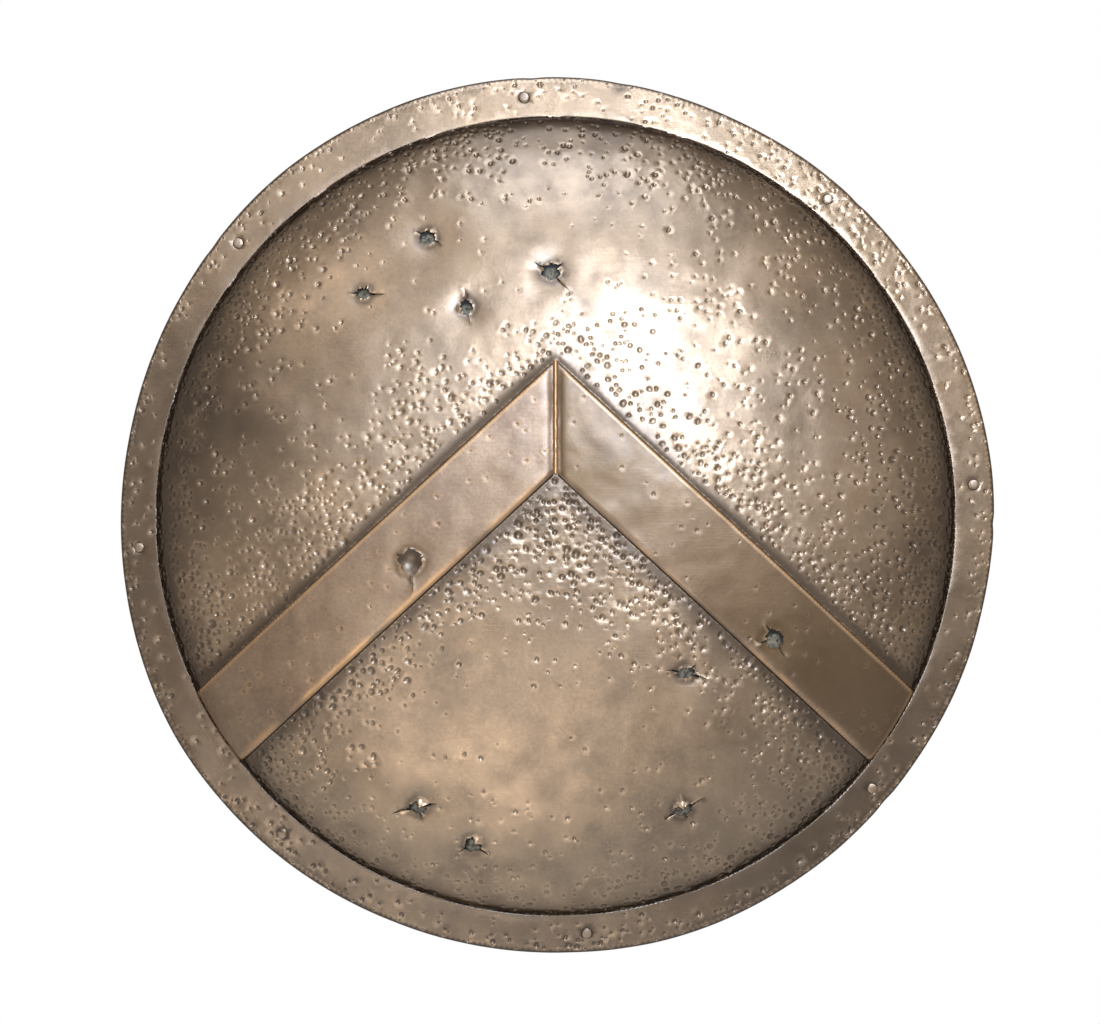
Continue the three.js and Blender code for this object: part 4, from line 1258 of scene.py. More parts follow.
class AspisRivets(bpy.types.Operator):
    """Build the rim's eight rivets, each with a flat head in front and a hammered tail behind"""

    bl_idname = "aspis.rivets"
    bl_label = "Rim rivets"

    def execute(self, context):
        slope = (RIM_INNER_HEIGHT - RIM_EDGE_HEIGHT) / (SHIELD_RADIUS - BOWL_RADIUS)
        head = RIM_INNER_HEIGHT - (RIM_RIVET_RADIUS - BOWL_RADIUS) * slope
        profile = in_mm([(0, -1.2), (2.2, -1.1), (3.4, -0.75), (3.8, -0.2), (3.7, 0.4), (2.2, 0.5)])
        profile += [(r, head + h) for r, h in in_mm([
            (2.2, -1.0), (4.5, -0.9), (4.75, 0.1), (4.6, 0.4), (4.1, 0.5), (2.2, 0.56), (0, 0.62)])]
        item = new_item(
            "rivet", turned_item(profile, 24), lambda x, y, z: -0.4 if z > head + 0.3 * mm else -1.0)
        count = len(RIM_RIVETS)
        points = out_of_round(np.array([(x, RIM_BACK, z) for x, z in RIM_RIVETS]))
        piece = placed("rim_rivets", item, points, [(0, -1, 0)] * count, [(1, 0, 0)] * count,
                       bronze_material(), spread=0.05, turn=math.pi, seed=3)
        return finish_piece(piece, "shield", "bronze", *[f"rim_rivet_{i + 1}" for i in range(count)])


# The hollow side: where things are fastened to the lining, as in the part's source

CORD_STAPLE_RADIUS = 345 * mm
CORD_STAPLES = [
    (CORD_STAPLE_RADIUS * math.cos(turn), CORD_STAPLE_RADIUS * math.sin(turn))
    for turn in map(math.radians, (0, 45, 135, 225, 315))]
GRIP_X, GRIP_HALF_SPAN = -325 * mm, 95 * mm
ARMBAND_NAILS = in_mm((x, z) for z in (76.4, -76.4) for x in (-38, 38))
BAND_NAILS = in_mm((x, side * z) for side in (1, -1) for x, z in ((-20, 174.7), (20, 343.3)))
EYE_STAND_OFF, EYE_HOLE, STRAP_HOLE = 16.5 * mm, 4.5 * mm, 4.3 * mm
RING_RADIUS, RING_WIRE = 17.5 * mm, 2.5 * mm
GRIP_RING_TILT = math.radians(30)


def lining_height(r):
    return dome_height(r, LINING_FACE_INSET)


def lining_seat(x, z, stand=0.0):
    """A point over the lining, the direction out of the bowl there, and the level direction across it."""
    r, step = math.hypot(x, z), 0.5 * mm
    fall = (lining_height(r - step) - lining_height(r + step)) / (2 * step)
    out = Vector((-fall * x / r, 1, -fall * z / r)).normalized()
    level = Vector((out.y, -out.x, 0)).normalized()
    return Vector((x, RIM_BACK - lining_height(r), z)) + stand * out, out, level


def grip_out():
    """The direction in which the hand grip stands out from the bowl."""
    level = lining_seat(GRIP_X, GRIP_HALF_SPAN)[2]
    return Vector((-level.y, level.x, 0)), level


def ring_frame(x, z, along):
    """A hanging ring's middle, its axis, and the level direction it hinges on."""
    seat, out, level = lining_seat(x, z)
    eye = seat + EYE_STAND_OFF * out
    drop = EYE_HOLE - RING_WIRE - SEAT_GAP
    return eye + (drop + RING_RADIUS) * along, level.cross(along).normalized(), level


def grip_ring(side):
    """The frame of one of the grip's rings, and the direction from its eye to the strap."""
    out, _ = grip_out()
    along = Vector((0, 0, -side * math.cos(GRIP_RING_TILT))) + out * math.sin(GRIP_RING_TILT)
    return ring_frame(GRIP_X, side * GRIP_HALF_SPAN, along), along


class AspisFittings(bpy.types.Operator):
    """Build the nails, and the washers, staples and rings in the bowl"""

    bl_idname = "aspis.fittings"
    bl_label = "Nails, washers, staples and rings"

    def execute(self, context):
        self.make_nails()
        self.make_seats()
        return self.make_rings()

    def make_nails(self):
        profile = in_mm([(0, -6), (1.2, -5.6), (1.7, -5), (1.7, -0.4), (4.7, -0.4), (5.1, 0), (4.8, 0.75),
                         (4.0, 1.5), (2.6, 2.15), (1.2, 2.4), (0, 2.45)])
        for kind, nails, stand in (("armband", ARMBAND_NAILS, 2.1 * mm), ("band", BAND_NAILS, 1.3 * mm)):
            item = new_item("nail", turned_item(profile, 18), lambda x, y, z: 1.0 - 280 * math.hypot(x, y))
            seats = [lining_seat(x, z, stand) for x, z in nails]
            piece = placed(f"{kind}_nails", item, *map(list, zip(*seats)), fittings_material(),
                           spread=0.06, turn=math.pi, seed=5)
            finish_piece(piece, "shield", "fittings", *[f"{kind}_nail_{i + 1}" for i in range(len(nails))])

    def make_seats(self):
        """Washers under staples of one bent rod each, its two legs side by side."""
        places = CORD_STAPLES + [(GRIP_X, GRIP_HALF_SPAN), (GRIP_X, -GRIP_HALF_SPAN)]
        labels = [f"cord_{i + 1}" for i in range(len(CORD_STAPLES))] + ["grip_upper", "grip_lower"]
        columns = list(map(list, zip(*[lining_seat(x, z) for x, z in places])))
        washer = turned_item(in_mm([
            (0, -0.6), (15.4, -0.6), (16, 0.0), (16, 1.1), (15.4, 1.65), (14, 1.8), (12.6, 1.55),
            (11.2, 1.9), (7, 2.5), (3.6, 2.9), (2.6, 2.6), (0, 2.6)]), 40)
        # One leg of the staple and the bend into its eye: across, out of the bowl and the rod's radius
        leg = [(-1.15, -6, 1.2), (-1.15, 2, 1.25), (-1.2, 6.5, 1.4), (-1.6, 9, 1.6)]
        eye = [(6.5 * math.cos(turn), 16.5 + 6.5 * math.sin(turn), 1.95)
               for turn in (math.radians(-68 - 11.2 * (i + 1)) for i in range(21))]
        rod = np.array(leg + eye + [(-across, out, radius) for across, out, radius in leg[::-1]]) * mm
        staple = tube(np.insert(rod[:, :2], 0, 0, axis=1), rod[:, 2], 12)
        for name, shape, wear_and_painted_light, choice in (
                ("washer", washer, lambda x, y, z: 0.7 if 13 * mm < math.hypot(x, y) < 15.6 * mm else -0.2,
                 {"turn": math.pi, "seed": 6}),
                ("staple", staple, lambda x, y, z: 0.6 if z > 20 * mm else -0.1, {})):
            piece = placed("staple_washers" if name == "washer" else "staples", new_item(name, shape, wear_and_painted_light),
                           *columns, fittings_material(), **choice)
            finish_piece(piece, "shield", "fittings", *[f"{label}_{name}" for label in labels])

    def make_rings(self):
        """Rings bent from rod and hammered shut, each on its own body and the grip's two on theirs."""
        down = Vector((0, 0, -1))
        groups = [(f"cord_ring_{i + 1}", f"cord_ring_{i + 1}_link", [f"cord_{i + 1}_ring"],
                   [ring_frame(x, z, down)]) for i, (x, z) in enumerate(CORD_STAPLES)]
        groups.append(("grip", "grip_rings", ["grip_upper_ring", "grip_lower_ring"],
                       [grip_ring(side)[0] for side in (1, -1)]))
        angles = np.arange(56) * 2 * math.pi / 56
        path = RING_RADIUS * np.column_stack([np.cos(angles), np.sin(angles), 0 * angles])
        for number, (body, name, nodes, frames) in enumerate(groups):
            swell = np.array([
                1 + 0.05 * noise.noise((math.cos(a) * 2, math.sin(a) * 2, number * 3.1)) for a in angles])
            swell += 0.07 * bell(angles - 2.2, 0.12)
            item = new_item("ring", tube(path, RING_WIRE * swell, 14, closed=True),
                            lambda x, y, z: 0.9 * (math.hypot(x, y) < RING_RADIUS - 1.6 * mm))
            piece = placed(name, item, *map(list, zip(*frames)), fittings_material())
            finish_piece(piece, body, "fittings", *nodes)
        return {"FINISHED"}


# The wooden core and the filling behind the punctures

PLANKS = 6
# How far the wood is sunk from the face's back, for the deepest dents
DENT_ROOM = 2.0 * mm
# How far the wood's edge is sunk, for the knocks in the rim
KNOCK_ROOM = 1.2 * mm


class AspisCore(bpy.types.Operator):
    """Build the turned wooden bowl, sawn along its glue lines into six planks"""

    bl_idname = "aspis.core"
    bl_label = "Wooden core"

    def execute(self, context):
        blank = self.turn_blank()
        width = 2 * (SHIELD_RADIUS - SHEET - SEAT_GAP) / PLANKS
        start = width * PLANKS / 2
        for i in range(PLANKS):
            plank = blank.copy()
            for z, keep_below, cut in ((start - i * width - SEAT_GAP / 2, True, i > 0),
                                       (start - (i + 1) * width + SEAT_GAP / 2, False, i < PLANKS - 1)):
                if cut:
                    done = bmesh.ops.bisect_plane(
                        plank, geom=[*plank.verts, *plank.edges, *plank.faces], plane_co=(0, 0, z),
                        plane_no=(0, 0, 1), clear_outer=keep_below, clear_inner=not keep_below)
                    edges = [e for e in done["geom_cut"] if isinstance(e, bmesh.types.BMEdge)]
                    bmesh.ops.triangle_fill(
                        plank, edges=edges, use_beauty=True, normal=(0, 0, 1 if keep_below else -1))
            bmesh.ops.recalc_face_normals(plank, faces=plank.faces)
            name = f"plank_{i + 1}"
            mesh = bpy.data.meshes.new(name)
            plank.to_mesh(mesh)
            plank.free()
            boards = mesh.attributes.new("board", "FLOAT", "POINT")
            boards.data.foreach_set("value", [i * 1.7] * len(mesh.vertices))
            piece = linked(name, smoothed(mesh, wood_material(), 40))
            finish_piece(piece, "shield", "wood", f"core_{name}")
        blank.free()
        return self.make_filling()

    def turn_blank(self):
        """The whole bowl, sunk for the face's dents and broken behind the punctures."""
        back, edge = SHEET + SEAT_GAP, SHIELD_RADIUS - SHEET - SEAT_GAP - KNOCK_ROOM
        under = CORE_INSET + SHEET + SEAT_GAP
        slope = (RIM_INNER_HEIGHT - RIM_EDGE_HEIGHT) / (SHIELD_RADIUS - BOWL_RADIUS)
        outer, inner = dome_curve(CORE_INSET + DENT_ROOM, 54)[:-1], dome_curve(BOWL_INSET, 40)
        top, low, foot = RIM_INNER_HEIGHT - under, RIM_EDGE_HEIGHT - under, BOWL_RADIUS - BOWL_INSET
        rim = [(BOWL_RADIUS - CORE_INSET, top), (edge - RIM_ROUNDING, low + slope * RIM_ROUNDING),
               (edge - 0.7 * mm, low - 0.9 * mm), (edge, low - RIM_ROUNDING), (edge, back + RIM_ROUNDING),
               (edge - 0.8 * mm, back + 0.8 * mm), (edge - RIM_ROUNDING, back), (foot + 0.8 * mm, back),
               (foot, back + 0.8 * mm)]
        profile = np.vstack([outer, rim, inner[::-1][1:]])
        points, faces = turned_item([(r if r > 1e-6 else 0, h) for r, h in profile], 200)
        points = np.array(points)[:, [0, 2, 1]]
        points[:, 1] = RIM_BACK - points[:, 1]
        points = out_of_round(points)
        r = np.hypot(points[:, 0], points[:, 2])
        front = points[:, 1] < RIM_BACK - dome_height(r, BOWL_INSET) - 3 * mm
        broken = [(row, 3.8 * mm) for row in PUNCTURES] + [(ARM_PUNCTURES["left"][0], 4.2 * mm)]
        for row, depth in broken:
            x, z = pixel_place(*row[:2])
            past = np.maximum(0, np.hypot(points[:, 0] - x, points[:, 2] - z) - row[2] * mm)
            points[:, 1] += front * depth * bell(past, 9 * mm)
        blank = bmesh.new()
        verts = [blank.verts.new(p) for p in points]
        for face in faces:
            blank.faces.new([verts[i] for i in face])
        bmesh.ops.recalc_face_normals(blank, faces=blank.faces)
        return blank

    def make_filling(self):
        """Pitch pressed in behind each puncture, with a dished and uneven surface."""
        profile, sides, shares = face_profile(), 26, (0.2, 0.4, 0.6, 0.8, 1.0)
        # One cake of pitch: its two skins and the wall round them
        skin = [(0, 1 + j, 1 + (j + 1) % sides) for j in range(sides)]
        for a in range(1, 1 + sides * (len(shares) - 1), sides):
            b = a + sides
            skin += [(a + j, b + j, b + (j + 1) % sides, a + (j + 1) % sides) for j in range(sides)]
        count, last = 1 + sides * len(shares), 1 + sides * (len(shares) - 1)
        cake = skin + [tuple(i + count for i in face[::-1]) for face in skin]
        for j in range(sides):
            a, b = last + j, last + (j + 1) % sides
            cake.append((a, a + count, b + count, b))
        points, faces, wear_and_painted_light = [], [], []
        rows = [(row, -5.9, -4.2) for row in PUNCTURES] + [(ARM_PUNCTURES["right"][0], 1.9, 2.7)]
        for number, (row, middle, edge) in enumerate(rows):
            at = profile.unroll(pixel_place(*row[:2]))[0]
            reach = (row[2] + 3.5) * mm * math.sqrt(row[3])
            flat, height = [at], [middle * mm]
            for share in shares:
                flat += list(ring(sides, reach * share, at))
                height += [(middle + (edge - middle) * share ** 2.2) * mm] * sides
            flat = np.array(flat)
            height = np.array(height) + unevenness(flat, 0.5 * mm, 5 * mm, number * 2.3)
            faces += [tuple(i + len(points) for i in face) for face in cake]
            points += [*profile.place(flat, height), *profile.place(flat, height - 0.9 * mm)]
            # Painted shadow: each cake darkens toward its rim, the more so at its top, as if shaded by the
            # torn sheet over it
            out = np.hypot(*(flat - at).T) / reach + 0.45 * (flat[:, 1] - at[1]) / reach
            wear_and_painted_light += [*-smoothstep(0.3, 0.68, out), *np.full(count, -1)]
        piece = faced_piece("pitch_filling", points, faces, pitch_material())
        set_wear_and_painted_light(piece, np.array(wear_and_painted_light))
        return finish_piece(piece, "shield", "wood")


def slab_piece(name, front, back, material, wear_and_painted_light=None):
    """A sheet between two grids of points of the same size, walled along its four sides."""
    rows, columns = front.shape[:2]
    count = rows * columns
    faces = []
    for i in range(rows - 1):
        for j in range(columns - 1):
            a = i * columns + j
            square = (a, a + 1, a + columns + 1, a + columns)
            faces += [square, tuple(k + count for k in square[::-1])]
    border = [(0, j) for j in range(columns)] + [(i, columns - 1) for i in range(1, rows)]
    border += [(rows - 1, j) for j in range(columns - 2, -1, -1)] + [(i, 0) for i in range(rows - 2, 0, -1)]
    border = [i * columns + j for i, j in border]
    for a, b in zip(border, border[1:] + border[:1]):
        faces.append((b, a, a + count, b + count))
    piece = faced_piece(name, np.vstack([front.reshape(-1, 3), back.reshape(-1, 3)]), faces, material)
    if wear_and_painted_light is not None:
        set_wear_and_painted_light(piece, np.tile(np.asarray(wear_and_painted_light).ravel(), 2))
    return piece


# Leather and the bronze of the hollow side

ARCH_HALF, ARCH_CROWN = 55 * mm, 41 * mm
SLEEVE_THICKNESS, ARMBAND_SHEET = 3 * mm, 1.4 * mm
ARMBAND_HALF, SLEEVE_HALF, FOOT_WIDTH = 52 * mm, 48 * mm, 34 * mm
LIP_PROUD = 2.2 * mm
BAND_HALF, BAND_START, BAND_END = 30 * mm, 94.4 * mm, 362 * mm


def hollow_profile():
    """The lining's face, from the middle of the bowl to its back edge."""
    foot = BOWL_RADIUS - LINING_FACE_INSET
    return Profile(np.vstack([dome_curve(LINING_FACE_INSET), [foot, CORE_INSET]]))


def lining_y(x, z):
    return RIM_BACK - lining_height(np.hypot(x, z))


def mirrored(half):
    """Half of a row of places, from 0 outward, with the same on the other side of 0."""
    return np.concatenate([-half[:0:-1], half])


def arch_rows(outside, foot_gap, with_feet):
    """The arch's path: for each row, a function of x that gives z and y, and the way out of the metal."""
    half, fillet = ARCH_HALF + outside, 3 * mm
    spring = ARCH_CROWN + outside - half
    rows = []

    def on_lining(z, lift, seat):
        return lambda x: (z, lining_y(x, seat) + foot_gap + lift)

    if with_feet:
        for share in np.linspace(0, 1, 9)[:-1]:
            z = half + FOOT_WIDTH + (fillet - FOOT_WIDTH) * share
            rows.append((on_lining(z, 0, z), (0, 1)))
        for step in range(6):
            angle = math.radians(90 - 18 * step)
            z, lift = half + fillet * (1 - math.cos(angle)), fillet * (1 - math.sin(angle))
            rows.append((on_lining(z, lift, half), (math.cos(angle), math.sin(angle))))
    start = fillet if with_feet else 0
    for share in np.linspace(0, 1, 7)[1 if with_feet else 0:-1]:
        def leg(x, share=share):
            low = lining_y(x, half) + foot_gap + start
            return half + 0 * x, low + (spring - low) * share
        rows.append((leg, (1, 0)))
    for angle in np.linspace(0, math.pi / 2, 19):
        cos, sin = math.cos(angle), math.sin(angle)
        rows.append((lambda x, z=half * cos, y=spring + half * sin: (z + 0 * x, y + 0 * x), (cos, sin)))
    return rows + [
        (lambda x, row=row: (-row(x)[0], row(x)[1]), (-n[0], n[1])) for row, n in rows[-2::-1]]


def arch_grid(rows, across, lift):
    """Points of an arch's surface. lift gives how far a row stands out of the path at each x."""
    grid = []
    for i, (row, normal) in enumerate(rows):
        z, y = row(across)
        out = lift(i, across)
        grid.append(np.column_stack([across, y + normal[1] * out, z + normal[0] * out]))
    return np.array(grid)


class AspisArmband(bpy.types.Operator):
    """Build the bronze armband, its leather sleeve and the two long bands"""

    bl_idname = "aspis.armband"
    bl_label = "Armband, sleeve and bands"

    def execute(self, context):
        self.make_arch()
        self.make_sleeve()
        for name, side in (("upper", 1), ("lower", -1)):
            self.make_band(name, side)
        return {"FINISHED"}

    def make_arch(self):
        """A hammered arch with two raised ribs and a rolled lip at each end."""
        rows = arch_rows(SLEEVE_THICKNESS + SEAT_GAP + ARMBAND_SHEET, ARMBAND_SHEET + SEAT_GAP, True)
        feet = 8 + 6
        across = mirrored(np.array([
            0, 6, 12, 18, 24, 29, 33, 34.4, 35.6, 37, 38.4, 39.6, 41, 42.2, 43.6, 44.8, 46, 47.5, 49, 50.5,
            51.6, 52])) * mm
        away = np.abs(across)
        ribs = 1.2 * mm * (bell(away - 37 * mm, 1.3 * mm) + bell(away - 42 * mm, 1.3 * mm))
        lip = LIP_PROUD * np.sqrt(np.clip(1 - ((away - 48.6 * mm) / (3.6 * mm)) ** 2, 0, 1))
        crown = 0.5 * mm * (1 - (away / ARMBAND_HALF) ** 2)

        def share(i):
            return float(smoothstep(feet - 4, feet + 3, min(i, len(rows) - 1 - i)))

        def beaten(i, x):
            return 0.22 * mm * np.array([noise.noise((v * 90, i * 0.55, 4.4)) for v in x])

        front = arch_grid(rows, across, lambda i, x: (ribs + lip + crown) * share(i) + beaten(i, x))
        back = arch_grid(rows, across, lambda i, x: -ARMBAND_SHEET + (0.8 * ribs + crown) * share(i))
        wear_and_painted_light = np.clip((ribs + lip) / (1.2 * mm), 0, 1) * 0.9 - 0.5 * bell(away - 44.6 * mm, 0.9 * mm)
        wear_and_painted_light = np.tile(wear_and_painted_light, (len(rows), 1))
        wear_and_painted_light[[0, -1]] = 0.6
        wear_and_painted_light[feet - 6:feet] -= 0.5
        wear_and_painted_light[-feet:6 - feet] -= 0.5
        piece = slab_piece("armband_arch", front, back, fittings_material(), wear_and_painted_light)
        finish_piece(piece, "shield", "fittings", "armband")

    def make_sleeve(self):
        """A leather sleeve turned over at both ends, a little fuller in the middle, and sewn."""
        rows = arch_rows(SLEEVE_THICKNESS, SEAT_GAP, False)
        turned_over = np.array([0.93, 0.965, 0.985, 0.996, 1])
        across = np.concatenate([-turned_over[::-1], np.linspace(-0.88, 0.88, 31), turned_over])
        across *= SLEEVE_HALF
        away = np.abs(across) / SLEEVE_HALF
        rounding = 1.1 * mm * np.clip((away - 0.965) / 0.035, 0, 1) ** 2.5
        seam_at = 42.5 * mm
        seam = 0.5 * mm * bell(np.abs(across) - seam_at, 1.2 * mm)

        def crease(i, x):
            return 0.35 * mm * np.array([noise.fractal((v * 60, i * 0.22, 1.5), 1.0, 2.0, 3) for v in x])

        front = arch_grid(rows, across, lambda i, x: -rounding - 0.05 * mm)
        back = arch_grid(rows, across, lambda i, x: rounding + seam - SLEEVE_THICKNESS + crease(i, x))
        wear_and_painted_light = np.tile(-0.8 * (away > 0.95) - 0.6 * (seam > 0.2 * mm), (len(rows), 1))
        piece = slab_piece("armband_sleeve_leather", front, back, leather_material(), wear_and_painted_light)
        finish_piece(piece, "shield", "leather", "armband_sleeve")
        inward = SLEEVE_THICKNESS - 0.35 * mm
        path, out = [], []
        for x in (-seam_at, seam_at):
            for row, (nz, ny) in rows[1:-1]:
                z, y = row(np.array([x]))
                path.append((x, float(y[0]) - ny * inward, float(z[0]) - nz * inward))
                out.append((0, -ny, -nz))
        count = len(path)
        edges = [(i, i + 1) for i in range(count - 1) if i != count // 2 - 1]
        stitches = placed("sleeve_stitches", stitch_item(), path, out, [(1, 0, 0)] * count,
                          thread_material(), paths=edges, pitch=5.2 * mm, spread=0.08, turn=0.08, seed=11)
        finish_piece(stitches, "shield", "leather")

    def make_band(self, name, side):
        """A long strip hammered to the bowl, with a rounded end and a raised border."""
        tip = 24 * mm
        along = np.concatenate([np.linspace(BAND_START, BAND_END - tip, 60),
                                BAND_END - tip + tip * np.sin(np.linspace(0, math.pi / 2, 12)[1:])])
        across = mirrored(np.array([0, 0.16, 0.33, 0.5, 0.66, 0.82, 0.87, 0.91, 0.95, 0.985, 1.0]))
        border = 0.7 * mm * bell(np.abs(across) - 0.91, 0.035)
        surface = hollow_profile()
        front, back, wear_and_painted_light = [], [], []
        for z in along:
            past = max(0.0, (z - BAND_END + tip) / tip)
            x = across * BAND_HALF * (1 - past ** 2.6 * 0.55)
            flat = surface.unroll(np.column_stack([x, np.full(len(x), side * z)]))
            beaten = 0.25 * mm * np.array([noise.noise((v * 70, z * 70, 8.8)) for v in x])
            front.append(surface.place(flat, -(SEAT_GAP + 1.0 * mm + border + beaten)))
            back.append(surface.place(flat, np.full(len(x), -SEAT_GAP)))
            wear_and_painted_light.append(border / (0.7 * mm) - 0.4 * (np.abs(np.abs(across) - 0.82) < 0.03))
        piece = slab_piece(f"{name}_band_strip", np.array(front), np.array(back), fittings_material(), wear_and_painted_light)
        finish_piece(piece, "shield", "fittings", f"{name}_band")


def stitch_item(length=4.0 * mm, thread=0.55 * mm):
    """One stitch of waxed thread: a short bar that dips into the leather at both ends."""
    half = [(0.2, 0.62, 1), (0.42, 0.2, 0.9), (0.5, -0.9, 0.7)]
    rod = np.array([(-x, z, r) for x, z, r in half[::-1]] + half)
    path = np.column_stack([rod[:, 0] * length, 0 * rod[:, 0], rod[:, 1] * thread])
    return new_item("stitch", tube(path, rod[:, 2] * thread, 6))


class AspisLining(bpy.types.Operator):
    """Build the leather lining's four panels and the stitches of their seams"""

    bl_idname = "aspis.lining"
    bl_label = "Leather lining"

    def execute(self, context):
        surface = hollow_profile()
        reach = surface.s[-1] - 1e-6
        steps = np.concatenate([[0, 0.003, 0.008, 0.015], np.linspace(0.03, 0.985, 60), [1.0]])
        a, b = np.meshgrid(steps, steps, indexing="ij")
        shape = np.stack([a * np.sqrt(1 - b * b / 2), b * np.sqrt(1 - a * a / 2)], axis=-1).reshape(-1, 2)
        size, gap = (len(steps), len(steps), 3), SEAT_GAP / 2
        for tall, up in (("upper", 1), ("lower", -1)):
            for wide, right in (("left", -1), ("right", 1)):
                flat = shape * reach * (right, up)
                flat = np.where(np.abs(flat) < gap, np.array([right, up]) * gap, flat)
                from_seam = np.minimum(*np.abs(flat.T))
                rolled = 0.9 * mm * bell(from_seam, 1.6 * mm)
                swell = 0.35 * mm * bell(from_seam - 9 * mm, 5 * mm)
                wrinkle = unevenness(flat, 0.35 * mm, 45 * mm, 2.1 + right + 3 * up)
                front = surface.place(flat, rolled - swell + wrinkle)
                back = surface.place(flat, np.full(len(flat), LINING_FACE_INSET - LINING_INSET))
                wear_and_painted_light = -0.9 * bell(from_seam, 2.5 * mm)
                wear_and_painted_light -= 0.5 * smoothstep(reach - 30 * mm, reach, np.hypot(*flat.T))
                piece = slab_piece(f"lining_{tall}_{wide}_panel", front.reshape(size), back.reshape(size),
                                   leather_material(), wear_and_painted_light)
                finish_piece(piece, "shield", "leather", f"lining_{tall}_{wide}")
        return self.make_stitches(surface, reach)

    def make_stitches(self, surface, reach):
        """Two rows beside each seam, clear of the armband and bands, and one round the edge."""
        row, end = 4.5 * mm, reach - 14 * mm
        clear = surface.unroll([(0, BAND_END + 3 * mm)])[0][1]
        lines = []
        for side in (1, -1):
            for turn in (1, -1):
                lines.append([(side * row, turn * s) for s in np.linspace(6 * mm, 53 * mm, 12)])
                lines.append([(side * row, turn * s) for s in np.linspace(clear, end, 8)])
                lines.append([(turn * s, side * row) for s in np.linspace(8 * mm, end, 70)])
        edge = ring(220, reach - 9 * mm)
        lines.append([*edge, edge[0]])
        flat = np.vstack(lines)
        points = surface.place(flat, -0.15 * mm)
        out = (surface.place(flat, -1.0 * mm) - points) / (0.85 * mm)
        edges, start = [], 0
        for line in lines:
            edges += [(start + i, start + i + 1) for i in range(len(line) - 1)]
            start += len(line)
        piece = placed("lining_stitches", stitch_item(4.6 * mm), points, out, [(1, 0, 0)] * len(points),
                       thread_material(), paths=edges, pitch=6.5 * mm, spread=0.1, turn=0.1, seed=12)
        return finish_piece(piece, "shield", "leather")


class AspisGrip(bpy.types.Operator):
    """Build the hand grip's leather strap, folded round a ring at each end and sewn"""

    bl_idname = "aspis.grip"
    bl_label = "Hand grip"

    def execute(self, context):
        out, level = grip_out()
        (middle, _, _), along = grip_ring(1)
        far = middle + RING_RADIUS * along
        slack = STRAP_HOLE - RING_WIRE - SEAT_GAP
        end, base = far.z + slack * math.cos(GRIP_RING_TILT), -slack * math.sin(GRIP_RING_TILT)
        thick, bow, loop, narrow = 4.5 * mm, 11 * mm, 6.55 * mm, 7.0

        def bowed(z):
            return base + loop + bow * (1 - (z / end) ** 2)

        # Half of the strap's middle line, from its middle out to the loop and back under itself
        line = []
        for z in np.linspace(0, 1, 22) * (end - 1 * mm):
            line.append((z, bowed(z), thick, 12.5 - 5.5 * smoothstep(end - 26 * mm, end - 9 * mm, z)))
        for angle in np.radians(np.linspace(80, -118, 16)):
            line.append((end + loop * math.cos(angle), base + loop * math.sin(angle), 4.1 * mm, narrow))
        # The strap's end comes back and lies under it, thinned to a skived edge
        tail = ((8, 8.6, 3.6), (12, 5.0, 3.2), (16, 1.9, 2.8), (20, 0.2, 2.6), (25, -0.1, 2.3),
                (30, -0.1, 1.9), (35, -0.1, 1.2))
        for back, gap, thin in tail:
            z = end - back * mm
            line.append((z, bowed(z) - thick / 2 - (gap + thin / 2) * mm, thin * mm, narrow))
        line = np.array([(-z, *rest) for z, *rest in line[:0:-1]] + line)
        middle_line = np.array([Vector((far.x, far.y, z)) + out * float(rise) for z, rise, _, _ in line])
        tangents = np.gradient(middle_line, axis=0)
        tangents /= np.linalg.norm(tangents, axis=1)[:, None]
        side = np.array(level)
        half = [(0.4, 1), (0.8, 1), (0.9, 0.9), (0.97, 0.6), (1, 0)]
        rim = [(-x, y) for x, y in half[::-1]] + [(0, 1)] + half
        rim += [(x, -y) for x, y in rim[-2:0:-1]]
        points, wear_and_painted_light = [], []
        for number, (centre, tangent, (_, _, t, w)) in enumerate(zip(middle_line, tangents, line)):
            normal = np.cross(side, tangent)
            for x, y in rim:
                dip = 0.35 * mm * bell(abs(x) - 0.72, 0.1)
                worn = 0.3 * mm * noise.noise((x * 1.3, number * 0.3, 6.0))
                points.append(centre + side * x * w * mm + normal * y * (t / 2 - dip + worn))
                wear_and_painted_light.append(-0.6 if abs(x) > 0.85 else 0.35 - 0.9 * (dip > 0.15 * mm))
        piece = faced_piece("grip_leather", points, bar_faces(len(line), len(rim)), strap_material())
        set_wear_and_painted_light(piece, np.array(wear_and_painted_light))
        finish_piece(piece, "grip", "leather", "grip_strap")
        places, facing, edges = [], [], []
        chosen = [i for i, (_, rise, _, w) in enumerate(line) if w > 11.5 and rise > base]
        for across in (9 * mm, -9 * mm):
            for face in (1, -1):
                for n, i in enumerate(chosen):
                    normal = np.cross(side, tangents[i])
                    normal *= face * np.sign(normal @ np.array(out))
                    places.append(middle_line[i] + side * across + normal * (thick / 2 - 0.3 * mm))
                    facing.append(normal)
                    if n:
                        edges.append((len(places) - 2, len(places) - 1))
        stitches = placed("grip_stitches", stitch_item(3.6 * mm, 0.5 * mm), places, facing,
                          [(0, 0, 1)] * len(places), thread_material(), paths=edges, pitch=5 * mm,
                          spread=0.08, turn=0.1, seed=13)
        return finish_piece(stitches, "grip", "leather")


